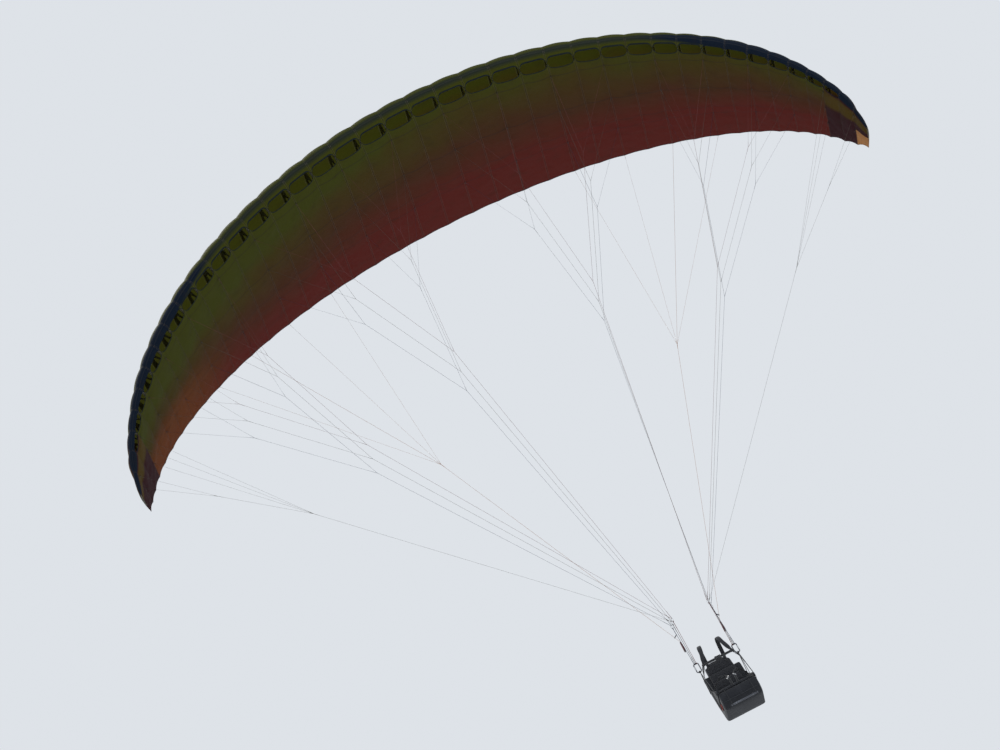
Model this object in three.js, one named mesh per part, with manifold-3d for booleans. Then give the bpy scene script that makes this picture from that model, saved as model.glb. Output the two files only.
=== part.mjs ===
// A paraglider in flight attitude: open-cell arched wing, rigging, risers, control toggles and an empty seat harness.
// Millimetres. +Z is up, the wing flies towards -Y, and +X is its left.
// The origin is on the root chord line, straight above the harness hang points.
import * as THREE from "three";
import { mergeVertices } from "three/addons/utils/BufferGeometryUtils.js";
import Module from "manifold-3d";

const wasm = await Module();
wasm.setup();

// Wing planform and arc
const HALF_SPAN = 4600; // projected
const ARC_DROP = 2020; // height of the root above the tips
const ARC_FULLNESS = 0.99; // sine of the arc's end angle, where 1 is a full half ellipse
const ROOT_CHORD = 2700;
const TIP_CHORD_SHARE = 0.26;
const SWEEP_SHARE = 0.68; // share of the root chord ahead of the tip's mid-chord
const LOAD_POINT = 0.33; // share of the root chord ahead of the hang points
const RIBS = 20; // on each side of the middle rib

// Aerofoil, in shares of the chord
const THICKNESS = 0.17;
const CAMBER = 0.03;
const CAMBER_AT = 0.35;
const UPPER_STATIONS = [0.012, 0.045, 0.11, 0.22, 0.38, 0.56, 0.74, 0.88];
const LOWER_STATIONS = [0.015, 0.065, 0.12, 0.25, 0.4, 0.55, 0.7, 0.85];
const INTAKE = [0.015, 0.065]; // the mouth's upper and lower lip, on the lower surface
const ROWS = { a: 0.12, b: 0.4, c: 0.7 }; // line attachments along the chord
const EDGE_HALF = 3; // half the trailing edge's thickness

// Cloth skin
const WALL = 3.5;
const BILLOW = 0.07; // how far a cell bulges, as a share of its width
const POCKET_END = 0.95;
const LAST_OPEN_CELL = 18;

// Trailing edge that the toggles pull down
const FLAP_RIBS = [4, 12];
const FLAP_HINGE = 0.73;
const FLAP_GAP = 0.005; // each side of the hinge line, as a share of the chord
const FLAP_END_GAP = 40; // beside the fixed cells

// Spanwise sections of the wing, by rib
const SECTIONS = [
  { name: "inner", from: 4, to: 8, end: FLAP_HINGE - FLAP_GAP },
  { name: "middle", from: 8, to: 12, end: FLAP_HINGE - FLAP_GAP },
  { name: "outer", from: 12, to: 16, end: 1 },
  { name: "tip", from: 16, to: 20, end: 1 },
];
const CENTRE_RIB = 4;
const SEAM_GAP = 0.3;

// Hang points, risers and rigging
const LINE_HEIGHT = 7300; // root chord line to the harness hinge
const HANG_X = 220;
const LINE_RADIUS = 1.2;
const TOUCH = 0.6; // from a line's end to the cloth
const MAIN_SHARE = 0.6; // of the way up where a main line divides
const MIDDLE_SHARE = 0.6; // of the rest where a middle line divides
const LINE_TREES = [
  { number: 1, ribs: [1, 3, 5, 7], stay: 5, offset: -4 },
  { number: 2, ribs: [9, 11, 13, 15], stay: 11, offset: 4 },
];
const RISER_HEIGHT = 600; // top eyes above the hinge
const RISERS = { a: { x: -12, y: -70 }, b: { x: 0, y: 0 }, c: { x: 12, y: 90 } };
const WEB_THICK = 3;
const WEB_WIDE = 20;
const EYE_RADIUS = 7;

// Hardware
const CARABINER = { wide: 62, tall: 112, bar: 11, corner: 18, chamfer: 3, sides: 3 };
const MAILLON = { wide: 26, tall: 40, bar: 5, sides: 3 };
const PULLEY = { x: 258, y: 135, height: 520, hole: 1.6, rim: 9, thick: 6 };
const TOGGLE = { drop: 80, tall: 120, wide: 100, thick: 16, bar: 12 };
const BRAKE_RIBS = [5, 7, 9, 11];
const BRAKE_SHARE = 0.55;

// Harness, measured from the hinge's height and from a line HANG_Y in front of it
const HANG_Y = 78; // the empty seat hangs level with its hang points here
const SEAT = { wide: 390, deep: 400, thick: 45, y: -80, z: -430, corner: 55 };
const BACK = { low: 350, high: 290, tall: 600, thick: 40, lean: 17, y: 122, z: -435 };
const PROTECTOR_WIDE = 430;
const BEVEL = 12;
const PIECE_GAP = 0.3;
const HANG_EYE = 6.8;
const HANG_LEG = 28;
const HANG_THICK = 4;
const SIDE_THICK = HANG_X - HANG_THICK / 2 - SEAT.wide / 2 - 2 * PIECE_GAP;

const group = new THREE.Group();
const wing = new THREE.Group();
const harness = new THREE.Group();
harness.position.set(0, -HANG_Y, -LINE_HEIGHT);
group.add(wing, harness);

const MATERIALS = {
  cloth_front: [0x8f8a1c, 0.75, 0],
  cloth_tip: [0x4a1626, 0.75, 0],
  cloth_rear: [0xa81f1c, 0.75, 0],
  line: [0x3a2320, 0.8, 0],
  brake_line: [0xc8691e, 0.8, 0],
  webbing: [0x17181c, 0.85, 0],
  steel: [0x9a9c9e, 0.35, 1],
  alloy: [0x33363c, 0.4, 1],
  harness_cloth: [0x15161a, 0.85, 0],
  padding: [0x1e2026, 0.9, 0],
  handle: [0xa01818, 0.7, 0],
  plastic: [0x101114, 0.5, 0],
};

function addMesh(parent, name, geometry, slot) {
  const [color, roughness, metalness] = MATERIALS[slot];
  const mesh = new THREE.Mesh(geometry, new THREE.MeshStandardMaterial({ color, roughness, metalness }));
  mesh.name = name;
  parent.add(mesh);
  return mesh;
}

// Solids from meshes, and back
function toSolid(geometry) {
  const bare = geometry.clone();
  bare.deleteAttribute("normal");
  bare.deleteAttribute("uv");
  const merged = mergeVertices(bare, 1e-3);
  return new wasm.Manifold(
    new wasm.Mesh({
      numProp: 3,
      vertProperties: merged.attributes.position.array,
      triVerts: new Uint32Array(merged.index.array),
    }),
  );
}

function toGeometry(solid) {
  const mesh = solid.getMesh();
  const geometry = new THREE.BufferGeometry();
  geometry.setAttribute("position", new THREE.BufferAttribute(mesh.vertProperties, 3));
  geometry.setIndex(new THREE.BufferAttribute(mesh.triVerts, 1));
  return geometry;
}

function union(geometries) {
  return toGeometry(geometries.map(toSolid).reduce((sum, next) => sum.add(next)));
}

// A closed skin through rings of equal length, capped at both ends. flats holds each end ring in its own plane.
function loft(rings, flats) {
  const count = rings[0].length;
  const index = [];
  for (let s = 0; s + 1 < rings.length; s++)
    for (let k = 0; k < count; k++) {
      const next = (k + 1) % count;
      const [a, b] = [s * count + k, s * count + next];
      index.push(a, b, b + count, a, b + count, a + count);
    }
  for (const [a, b, c] of THREE.ShapeUtils.triangulateShape(flats[0], [])) index.push(c, b, a);
  const last = (rings.length - 1) * count;
  for (const [a, b, c] of THREE.ShapeUtils.triangulateShape(flats[1], [])) index.push(last + a, last + b, last + c);
  const geometry = new THREE.BufferGeometry();
  const positions = rings.flat().flatMap((p) => [p.x, p.y, p.z]);
  geometry.setAttribute("position", new THREE.BufferAttribute(new Float32Array(positions), 3));
  geometry.setIndex(index);
  return geometry;
}

function mirrored(geometry) {
  const copy = geometry.clone();
  copy.scale(-1, 1, 1);
  const index = copy.index ? copy.index : null;
  if (!index) {
    const p = copy.attributes.position;
    for (let i = 0; i < p.count; i += 3)
      for (const key of [0, 1, 2]) {
        const held = p.array[3 * (i + 1) + key];
        p.array[3 * (i + 1) + key] = p.array[3 * (i + 2) + key];
        p.array[3 * (i + 2) + key] = held;
      }
    return copy;
  }
  for (let i = 0; i < index.count; i += 3) {
    const held = index.array[i + 1];
    index.array[i + 1] = index.array[i + 2];
    index.array[i + 2] = held;
  }
  return copy;
}

// Wing: the arc, planform and aerofoil at a rib number, which may be a fraction
const END_ANGLE = Math.asin(ARC_FULLNESS);
const ARC_X = HALF_SPAN / ARC_FULLNESS;
const ARC_Z = ARC_DROP / (1 - Math.cos(END_ANGLE));
const TIP_HALF = (TIP_CHORD_SHARE * ROOT_CHORD) / 2;
const ROOT_SHIFT = (SWEEP_SHARE - LOAD_POINT) * ROOT_CHORD;

const smooth = (t) => {
  const c = Math.min(1, Math.max(0, t));
  return c * c * (3 - 2 * c);
};

function station(rib) {
  const angle = (rib / RIBS) * END_ANGLE;
  const slope = Math.atan2(ARC_Z * Math.sin(angle), ARC_X * Math.cos(angle));
  const full = (Math.cos(angle) - Math.cos(END_ANGLE)) / (1 - Math.cos(END_ANGLE));
  const front = ROOT_SHIFT - TIP_HALF - (SWEEP_SHARE * ROOT_CHORD - TIP_HALF) * full;
  const rear = ROOT_SHIFT + TIP_HALF + ((1 - SWEEP_SHARE) * ROOT_CHORD - TIP_HALF) * full;
  const rounding = 1 - 0.38 * Math.max(0, (Math.abs(rib) - 18) / 2) ** 2;
  const pivot = front + 0.6 * (rear - front);
  const outward = Math.abs(rib);
  return {
    rib,
    x: ARC_X * Math.sin(angle),
    z: -ARC_Z * (1 - Math.cos(angle)),
    nx: Math.sin(slope),
    nz: Math.cos(slope),
    front: pivot + (front - pivot) * rounding,
    chord: (rear - front) * rounding,
    thickness: THICKNESS - 0.04 * smooth((outward - 12) / 6) - 0.08 * smooth((outward - 18) / 2),
    cell: (END_ANGLE / RIBS) * Math.hypot(ARC_X * Math.cos(angle), ARC_Z * Math.sin(angle)),
    bulge: 1 - (2 * Math.abs(outward - Math.floor(outward) - 0.5)) ** 2,
  };
}

// Height above the chord line, in shares of the chord, on side +1 (upper) or -1 (lower)
function surface(x, thickness, side) {
  const half =
    5 *
    thickness *
    (0.2969 * Math.sqrt(x) - 0.126 * x - 0.3516 * x ** 2 + 0.2843 * x ** 3 - 0.1036 * x ** 4);
  const camber =
    x < CAMBER_AT
      ? (CAMBER / CAMBER_AT ** 2) * (2 * CAMBER_AT * x - x * x)
      : (CAMBER / (1 - CAMBER_AT) ** 2) * (1 - 2 * CAMBER_AT + 2 * CAMBER_AT * x - x * x);
  return camber + side * half;
}

// A point of the section in its own plane: y along the chord, h along the section's normal
function skinPoint(s, x, side) {
  const swell = BILLOW * s.cell * s.bulge * Math.min(1, Math.sqrt(x / 0.08)) * (1 - x ** 6);
  const edge = side * EDGE_HALF * smooth((x - 0.9) / 0.1);
  const h = surface(x, s.thickness, side) * s.chord + side * swell + edge;
  return new THREE.Vector2(s.front + x * s.chord, h);
}

function outline(s, from, to) {
  const inside = (x) => x > from && x < to;
  const upper = [to, ...UPPER_STATIONS.filter(inside).reverse()];
  const lower = [...LOWER_STATIONS.filter(inside), to];
  if (from > 0) {
    upper.push(from);
    lower.unshift(from);
  }
  const nose = from > 0 ? [] : [new THREE.Vector2(s.front, 0)];
  return [...upper.map((x) => skinPoint(s, x, 1)), ...nose, ...lower.map((x) => skinPoint(s, x, -1))];
}

// The outline moved inwards by the wall's thickness. It runs anticlockwise seen with y to the left.
function inset(points, wall) {
  return points.map((p, k) => {
    const before = points[(k + points.length - 1) % points.length];
    const after = points[(k + 1) % points.length];
    const normals = [p.clone().sub(before), after.clone().sub(p)].map((d) =>
      new THREE.Vector2(-d.y, d.x).normalize(),
    );
    const mean = normals[0].clone().add(normals[1]).normalize();
    return p.clone().addScaledVector(mean, wall / Math.max(0.4, mean.dot(normals[0])));
  });
}

const toWorld = (s, p) => new THREE.Vector3(s.x + p.y * s.nx, p.x, s.z + p.y * s.nz);

function wingLoft(ribs, shape) {
  const stations = ribs.map(station);
  const flats = stations.map(shape);
  const rings = flats.map((flat, k) => flat.map((p) => toWorld(stations[k], p)));
  return loft(rings, [flats[0], flats[flats.length - 1]]);
}

// A cell's hollow, open at the nose intake
function mouthPocket(end) {
  return (s) => {
    const ring = [
      ...[end, ...UPPER_STATIONS.filter((x) => x < end - 0.02).reverse()].map((x) => skinPoint(s, x, 1)),
      ...[...INTAKE, 0.25, 0.55, end].map((x) => skinPoint(s, x, -1)),
    ];
    const points = inset(ring, WALL);
    const upper = ring.length - 5;
    const [lipA, lipB] = [ring[upper], ring[upper + 1]];
    const out = new THREE.Vector2(lipB.y - lipA.y, lipA.x - lipB.x).normalize();
    const reach = 4 * WALL;
    const mouth = [upper, upper + 1].map((k) => points[k].clone().addScaledVector(out, reach));
    return [...points.slice(0, upper + 1), ...mouth, ...points.slice(upper + 1)];
  };
}

// A cell's hollow in the trailing edge, open towards the hinge
function flapPocket(s) {
  const points = inset(outline(s, FLAP_HINGE + FLAP_GAP, POCKET_END), WALL);
  const open = (p) => new THREE.Vector2(p.x - 4 * WALL, p.y);
  const upperCount = UPPER_STATIONS.filter((x) => x > FLAP_HINGE + FLAP_GAP && x < POCKET_END).length + 2;
  return points.map((p, k) => (k === upperCount - 1 || k === upperCount ? open(p) : p));
}

const halves = (from, to) => Array.from({ length: 2 * (to - from) + 1 }, (_, k) => from + k / 2);

function hollowed(body, from, to, pocketShape) {
  let solid = toSolid(body);
  for (let cell = from; cell < to; cell++) {
    const inner = (WALL / 2 + SEAM_GAP) / station(cell + 0.5).cell;
    solid = solid.subtract(toSolid(wingLoft([cell + inner, cell + 0.5, cell + 1 - inner], pocketShape)));
  }
  return toGeometry(solid);
}

function wingSection(from, to, end) {
  const gap = SEAM_GAP / 2 / station(to).cell;
  const ribs = halves(from, to);
  ribs[0] += gap;
  ribs[ribs.length - 1] -= to === RIBS ? 0 : gap;
  const body = wingLoft(ribs, (s) => outline(s, 0, end));
  const last = Math.min(to, LAST_OPEN_CELL);
  return hollowed(body, from, last, mouthPocket(end === 1 ? POCKET_END : end - 0.02));
}

function trailingFlap() {
  const [from, to] = FLAP_RIBS;
  const ribs = halves(from, to);
  ribs[0] += FLAP_END_GAP / station(from).cell;
  ribs[ribs.length - 1] -= FLAP_END_GAP / station(to).cell;
  const body = wingLoft(ribs, (s) => outline(s, FLAP_HINGE + FLAP_GAP, 1));
  let solid = toSolid(body);
  for (let cell = from; cell < to; cell++) {
    const inner = (WALL / 2 + SEAM_GAP) / station(cell + 0.5).cell;
    const start = cell === from ? ribs[0] + inner : cell + inner;
    const stop = cell === to - 1 ? ribs[ribs.length - 1] - inner : cell + 1 - inner;
    solid = solid.subtract(toSolid(wingLoft([start, cell + 0.5, stop], flapPocket)));
  }
  return toGeometry(solid);
}

function addPair(parent, name, geometry, slot) {
  addMesh(parent, name + "_left", geometry, slot);
  addMesh(parent, name + "_right", mirrored(geometry), slot);
}

addMesh(wing, "canopy_centre", wingSection(-CENTRE_RIB, CENTRE_RIB, 1), "cloth_front");
for (const s of SECTIONS)
  addPair(wing, "canopy_" + s.name, wingSection(s.from, s.to, s.end), s.name === "tip" ? "cloth_tip" : "cloth_front");
addPair(wing, "trailing_flap", trailingFlap(), "cloth_rear");

// Rigging: each main stay is a bent tube from its maillon, past two divisions, to the cloth
function tube(points, radius, sides = 6) {
  const rings = points.map((p, k) => {
    const before = points[Math.max(0, k - 1)];
    const after = points[Math.min(points.length - 1, k + 1)];
    const along = after.clone().sub(before).normalize();
    const across = new THREE.Vector3(0, 1, 0).cross(along).normalize();
    const up = along.clone().cross(across);
    return Array.from({ length: sides }, (_, n) => {
      const turn = (2 * Math.PI * n) / sides;
      return p
        .clone()
        .addScaledVector(across, radius * Math.cos(turn))
        .addScaledVector(up, radius * Math.sin(turn));
    });
  });
  const flat = Array.from(
    { length: sides },
    (_, n) => new THREE.Vector2(Math.cos((2 * Math.PI * n) / sides), Math.sin((2 * Math.PI * n) / sides)),
  );
  return loft(rings, [flat, flat]);
}

function anchor(rib, x) {
  const s = station(rib);
  return toWorld(s, skinPoint(s, x, -1));
}

const mean = (points) => points.reduce((sum, p) => sum.add(p), new THREE.Vector3()).divideScalar(points.length);

function stay(start, row, tree) {
  const anchors = tree.ribs.map((rib) => anchor(rib, ROWS[row]));
  const fork = start.clone().lerp(mean(anchors), MAIN_SHARE);
  const pair = tree.ribs.indexOf(tree.stay) < 2 ? anchors.slice(0, 2) : anchors.slice(2);
  const split = fork.clone().lerp(mean(pair), MIDDLE_SHARE);
  const top = anchor(tree.stay, ROWS[row]);
  const back = split.clone().sub(top).normalize();
  return tube([start, fork, split, top.clone().addScaledVector(back, TOUCH)], LINE_RADIUS);
}

// A flat web between two eyes, in a plane of constant x
function eyeWeb(low, high, wide, thick, holes) {
  const along = high.clone().sub(low).normalize();
  const side = new THREE.Vector2(-along.y, along.x).multiplyScalar(wide / 2);
  const turn = Math.atan2(along.y, along.x);
  const shape = new THREE.Shape();
  const rim = holes.map((r) => r + 5);
  const neck = holes.map((r, k) => Math.asin(Math.min(1, wide / 2 / rim[k])));
  shape.absarc(low.x, low.y, rim[0], turn + neck[0], turn + 2 * Math.PI - neck[0], false);
  shape.absarc(high.x, high.y, rim[1], turn + Math.PI + neck[1], turn + 3 * Math.PI - neck[1], false);
  for (const [k, centre] of [low, high].entries()) {
    const hole = new THREE.Path();
    hole.absarc(centre.x, centre.y, holes[k], 0, 2 * Math.PI, true);
    shape.holes.push(hole);
  }
  const geometry = new THREE.ExtrudeGeometry(shape, { depth: thick, bevelEnabled: false, curveSegments: 6 });
  return inSidePlane(geometry, -thick / 2);
}

// Turns a shape drawn as (y, z) and extruded along +Z into one that is extruded along +X from x
function inSidePlane(geometry, x) {
  const turned = geometry.clone();
  turned.applyMatrix4(new THREE.Matrix4().set(0, 0, 1, x, 1, 0, 0, 0, 0, 1, 0, 0, 0, 0, 0, 1));
  return turned;
}

// Turns a shape drawn as (x, z) and extruded along +Z into one centred on y
function inFrontPlane(geometry, y) {
  const turned = geometry.clone();
  turned.applyMatrix4(new THREE.Matrix4().set(1, 0, 0, 0, 0, 0, -1, y, 0, 1, 0, 0, 0, 0, 0, 1));
  return turned;
}

function roundedBox(shape, wide, tall, corner) {
  const [w, t] = [wide / 2, tall / 2];
  shape.moveTo(w - corner, -t);
  shape.absarc(w - corner, -t + corner, corner, -Math.PI / 2, 0, false);
  shape.absarc(w - corner, t - corner, corner, 0, Math.PI / 2, false);
  shape.absarc(-w + corner, t - corner, corner, Math.PI / 2, Math.PI, false);
  shape.absarc(-w + corner, -t + corner, corner, Math.PI, 1.5 * Math.PI, false);
  return shape;
}

// A closed link of bar stock, drawn in the front plane about its own centre
function link({ wide, tall, bar, corner = wide / 2, chamfer = 0, sides }) {
  const shape = roundedBox(new THREE.Shape(), wide - 2 * chamfer, tall - 2 * chamfer, corner - chamfer);
  const inside = bar - chamfer;
  shape.holes.push(roundedBox(new THREE.Path(), wide - 2 * inside, tall - 2 * inside, corner - inside));
  const geometry = new THREE.ExtrudeGeometry(shape, {
    depth: bar - 2 * chamfer,
    bevelEnabled: chamfer > 0,
    bevelThickness: chamfer,
    bevelSize: chamfer,
    bevelSegments: 1,
    curveSegments: sides,
  });
  return inFrontPlane(geometry, bar / 2 - chamfer);
}

const carabinerSpan = CARABINER.tall - CARABINER.bar; // between the two bars' middles
const carabiner = link(CARABINER).translate(HANG_X, 0, carabinerSpan / 2 - LINE_HEIGHT);
addPair(wing, "carabiner", carabiner, "alloy");

const WEB_SEAT = 0.7; // from a bar's middle to the middle of the eye that it pulls against
for (const [row, riser] of Object.entries(RISERS)) {
  const x = HANG_X + riser.x;
  const low = new THREE.Vector2(0, carabinerSpan + WEB_SEAT - LINE_HEIGHT);
  const high = new THREE.Vector2(riser.y, RISER_HEIGHT - LINE_HEIGHT);
  addPair(
    wing,
    "riser_" + row,
    eyeWeb(low, high, WEB_WIDE, WEB_THICK, [EYE_RADIUS, EYE_RADIUS]).translate(x, 0, 0),
    "webbing",
  );
  const bottomBar = high.y + EYE_RADIUS - MAILLON.bar / 2 - 1;
  const middle = bottomBar + (MAILLON.tall - MAILLON.bar) / 2;
  addPair(wing, "maillon_" + row, link(MAILLON).translate(x, riser.y, middle), "steel");
  const top = middle + MAILLON.tall / 2 + LINE_RADIUS / 2;
  for (const tree of LINE_TREES) {
    const start = new THREE.Vector3(x + tree.offset, riser.y, top);
    addPair(wing, `line_${row}${tree.number}`, stay(start, row, tree), "line");
  }
}

// Control rigging: a guide ring behind the rear riser, the line up to the trailing edge, and the toggle below the ring
const brakeAnchors = BRAKE_RIBS.map((rib) => anchor(rib, 1));
const guide = new THREE.Vector3(PULLEY.x, PULLEY.y, PULLEY.height - LINE_HEIGHT);
const brakeFork = guide.clone().lerp(mean(brakeAnchors), BRAKE_SHARE);
const pull = guide.clone().sub(brakeFork).normalize();
const toggleTop = guide.clone().addScaledVector(pull, TOGGLE.drop);

// The ring faces along the line, so that the line slides through it
function guideRing() {
  const c = RISERS.c;
  const share = (PULLEY.height - carabinerSpan) / (RISER_HEIGHT - carabinerSpan);
  const riser = new THREE.Vector3(HANG_X + c.x, c.y * share + WEB_WIDE / 2 - 0.6, guide.z);
  const turned = new THREE.Quaternion().setFromUnitVectors(pull, new THREE.Vector3(0, 0, -1));
  const web = riser.sub(guide).applyQuaternion(turned);
  const turn = Math.atan2(web.y, web.x);
  const neck = Math.asin(5 / PULLEY.rim);
  const shape = new THREE.Shape();
  shape.absarc(0, 0, PULLEY.rim, turn + neck, turn + 2 * Math.PI - neck, false);
  shape.lineTo(web.x - 5, web.y);
  shape.lineTo(web.x + 5, web.y);
  const hole = new THREE.Path();
  hole.absarc(0, 0, PULLEY.hole, 0, 2 * Math.PI, true);
  shape.holes.push(hole);
  const options = { depth: PULLEY.thick, bevelEnabled: false, curveSegments: 4 };
  const ring = new THREE.ExtrudeGeometry(shape, options).translate(0, 0, -PULLEY.thick / 2);
  return ring.applyQuaternion(turned.invert()).translate(...guide);
}

function brakeLine() {
  const top = anchor(9, 1);
  const back = brakeFork.clone().sub(top).normalize();
  return tube([toggleTop, brakeFork, top.addScaledVector(back, TOUCH)], LINE_RADIUS);
}

function toggle() {
  const [w, t, b] = [TOGGLE.wide / 2, TOGGLE.tall, TOGGLE.bar];
  const shape = new THREE.Shape();
  shape.moveTo(-8, 0);
  shape.lineTo(-w, -t + 20);
  shape.absarc(-w + 14, -t + 14, 14, Math.PI, 1.5 * Math.PI, false);
  shape.absarc(w - 14, -t + 14, 14, 1.5 * Math.PI, 2 * Math.PI, false);
  shape.lineTo(8, 0);
  const hole = new THREE.Path();
  hole.moveTo(0, -2.2 * b);
  hole.lineTo(w - 1.6 * b, -t + 1.9 * b);
  hole.lineTo(-w + 1.6 * b, -t + 1.9 * b);
  shape.holes.push(hole);
  const options = { depth: TOGGLE.thick, bevelEnabled: false, curveSegments: 4 };
  const grip = inSidePlane(new THREE.ExtrudeGeometry(shape, options), -TOGGLE.thick / 2);
  return grip.translate(toggleTop.x, toggleTop.y, toggleTop.z - LINE_RADIUS);
}

addPair(wing, "brake_guide", guideRing(), "plastic");
addPair(wing, "brake_line", brakeLine(), "brake_line");
addPair(wing, "brake_toggle", toggle(), "webbing");

// Harness
function softBlock(wide, deep, thick, corner) {
  const shape = roundedBox(new THREE.Shape(), wide - 2 * BEVEL, deep - 2 * BEVEL, corner - BEVEL);
  return new THREE.ExtrudeGeometry(shape, {
    depth: thick - 2 * BEVEL,
    bevelThickness: BEVEL,
    bevelSize: BEVEL,
    bevelSegments: 1,
    curveSegments: 3,
  }).translate(0, 0, BEVEL - thick / 2);
}

// A side profile of (y, z) points, softened at the corners and as wide as the harness
function softProfile(points, wide, bevel) {
  const shape = new THREE.Shape(points.map(([y, z]) => new THREE.Vector2(y, z)));
  const geometry = new THREE.ExtrudeGeometry(shape, {
    depth: wide - 2 * bevel,
    bevelThickness: bevel,
    bevelSize: bevel,
    bevelOffset: -bevel,
    bevelSegments: 2,
  });
  return inSidePlane(geometry, bevel - wide / 2);
}

// A flat strap that follows points, with its width turning from one direction to another
function strap(points, wide, thick, across, steps, acrossEnd = across) {
  const curve = new THREE.CatmullRomCurve3(points.map((p) => new THREE.Vector3(...p)));
  const rings = Array.from({ length: steps + 1 }, (_, k) => {
    const p = curve.getPoint(k / steps);
    const along = curve.getTangent(k / steps);
    const side = across.clone().lerp(acrossEnd, smooth((k / steps - 0.6) / 0.4));
    const w = side.addScaledVector(along, -side.dot(along)).normalize().multiplyScalar(wide / 2);
    const t = along.clone().cross(w).normalize().multiplyScalar(thick / 2);
    return [
      p.clone().add(w).add(t),
      p.clone().sub(w).add(t),
      p.clone().sub(w).sub(t),
      p.clone().add(w).sub(t),
    ];
  });
  const flat = [
    [1, 1],
    [-1, 1],
    [-1, -1],
    [1, -1],
  ].map(([a, b]) => new THREE.Vector2(a, b));
  return loft(rings, [flat, flat]);
}

const ACROSS_X = new THREE.Vector3(1, 0, 0);
const ACROSS_Y = new THREE.Vector3(0, 1, 0);
const seatTop = SEAT.z + SEAT.thick / 2;
const seatLow = SEAT.z - SEAT.thick / 2;
const seatFront = SEAT.y - SEAT.deep / 2;
const seatRear = SEAT.y + SEAT.deep / 2;

addMesh(harness, "seat_cushion", softBlock(SEAT.wide, SEAT.deep, SEAT.thick, SEAT.corner), "padding").position.set(
  0,
  SEAT.y,
  SEAT.z,
);

function backCushion() {
  const [l, h, t] = [BACK.low / 2, BACK.high / 2, BACK.tall];
  const shape = new THREE.Shape();
  shape.moveTo(-l + BEVEL, BEVEL);
  shape.lineTo(l - BEVEL, BEVEL);
  shape.lineTo(h - BEVEL, t - 60);
  shape.lineTo(h - 60, t - BEVEL);
  shape.lineTo(-h + 60, t - BEVEL);
  shape.lineTo(-h + BEVEL, t - 60);
  const geometry = new THREE.ExtrudeGeometry(shape, {
    depth: BACK.thick - 2 * BEVEL,
    bevelThickness: BEVEL,
    bevelSize: BEVEL,
    bevelSegments: 2,
  });
  return inFrontPlane(geometry, BACK.thick - BEVEL);
}
const back = addMesh(harness, "back_cushion", backCushion(), "padding");
back.position.set(0, BACK.y, BACK.z);
back.rotation.x = THREE.MathUtils.degToRad(-BACK.lean);

// A point beside the leaning back: along its length, and behind its front face
function onBack(along, behind) {
  const lean = THREE.MathUtils.degToRad(BACK.lean);
  return [
    BACK.y + along * Math.sin(lean) + behind * Math.cos(lean),
    BACK.z + along * Math.cos(lean) - behind * Math.sin(lean),
  ];
}

const behindBack = BACK.thick + PIECE_GAP;
const PROTECTOR = [
  [seatFront - 5, seatLow - PIECE_GAP],
  [BACK.y + 10, seatLow - PIECE_GAP],
  onBack(5, behindBack),
  onBack(470, behindBack),
  onBack(480, behindBack + 35),
  onBack(300, behindBack + 80),
  onBack(80, behindBack + 95),
  [175, -585],
  [100, -620],
  [-210, -620],
  [seatFront, -560],
];
addMesh(harness, "back_protector", softProfile(PROTECTOR, PROTECTOR_WIDE, BEVEL), "harness_cloth");

const POCKET = [
  onBack(473, behindBack),
  onBack(590, behindBack),
  onBack(590, behindBack + 40),
  onBack(490, behindBack + 90),
  onBack(310, behindBack + 130),
  onBack(303, behindBack + 83),
  onBack(484, behindBack + 38),
];
addMesh(harness, "rear_pocket", softProfile(POCKET, 300, 8), "harness_cloth");

const HIP = [
  [seatFront + 10, seatLow],
  [BACK.y + 5, seatLow],
  onBack(10, 36),
  onBack(260, 36),
  onBack(250, -10),
  [-20, -300],
  [seatFront + 10, seatTop + 5],
];
const hip = softProfile(HIP, SIDE_THICK, 4).translate(SEAT.wide / 2 + SIDE_THICK / 2 + PIECE_GAP, 0, 0);
addPair(harness, "hip_panel", hip, "harness_cloth");

// Hang webbing: one eye round the carabiner's lower bar, with legs to the seat's front and rear and to the back
function legPlate(y, z) {
  const length = Math.hypot(y, z);
  const shape = new THREE.Shape();
  const [u, v] = [y / length, z / length];
  const w = HANG_LEG / 2;
  const corners = [
    [u * 4 - v * w * 0.6, v * 4 + u * w * 0.6],
    [y - v * w, z + u * w],
    [y + v * w, z - u * w],
    [u * 4 + v * w * 0.6, v * 4 - u * w * 0.6],
  ];
  shape.setFromPoints(corners.map(([a, b]) => new THREE.Vector2(a, b)).reverse());
  return inSidePlane(new THREE.ExtrudeGeometry(shape, { depth: HANG_THICK, bevelEnabled: false }), -HANG_THICK / 2);
}

function disc(radius, thick) {
  return new THREE.CylinderGeometry(radius, radius, thick, 24).rotateZ(Math.PI / 2);
}

const HANG_LEGS = [
  [seatFront + 40, seatLow + 12],
  [seatRear - 30, seatLow + 12],
  onBack(290, 20),
];
function hangWebbing() {
  const legs = HANG_LEGS.map(([y, z]) => legPlate(y - HANG_Y, z));
  const plates = union([disc(HANG_EYE + 9, HANG_THICK), ...legs]);
  const solid = toSolid(plates).subtract(toSolid(disc(HANG_EYE, 3 * HANG_THICK)));
  return toGeometry(solid).translate(HANG_X, HANG_Y, 0);
}
addPair(harness, "hang_webbing", hangWebbing(), "webbing");

const shoulder = [
  [100, ...onBack(500, -7)],
  [100, ...onBack(560, -11)],
  [102, 205, 232],
  [104, 120, 262],
  [108, 30, 225],
  [124, -24, 130],
  [158, -40, 20],
  [192, -34, -50],
  [209, -24, -98],
  [212.3, -16, -132],
];
const shoulderEnd = new THREE.Vector3(0, 0.97, 0.25);
addPair(harness, "shoulder_strap", strap(shoulder, 40, 10, ACROSS_X, 18, shoulderEnd), "webbing");

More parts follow.
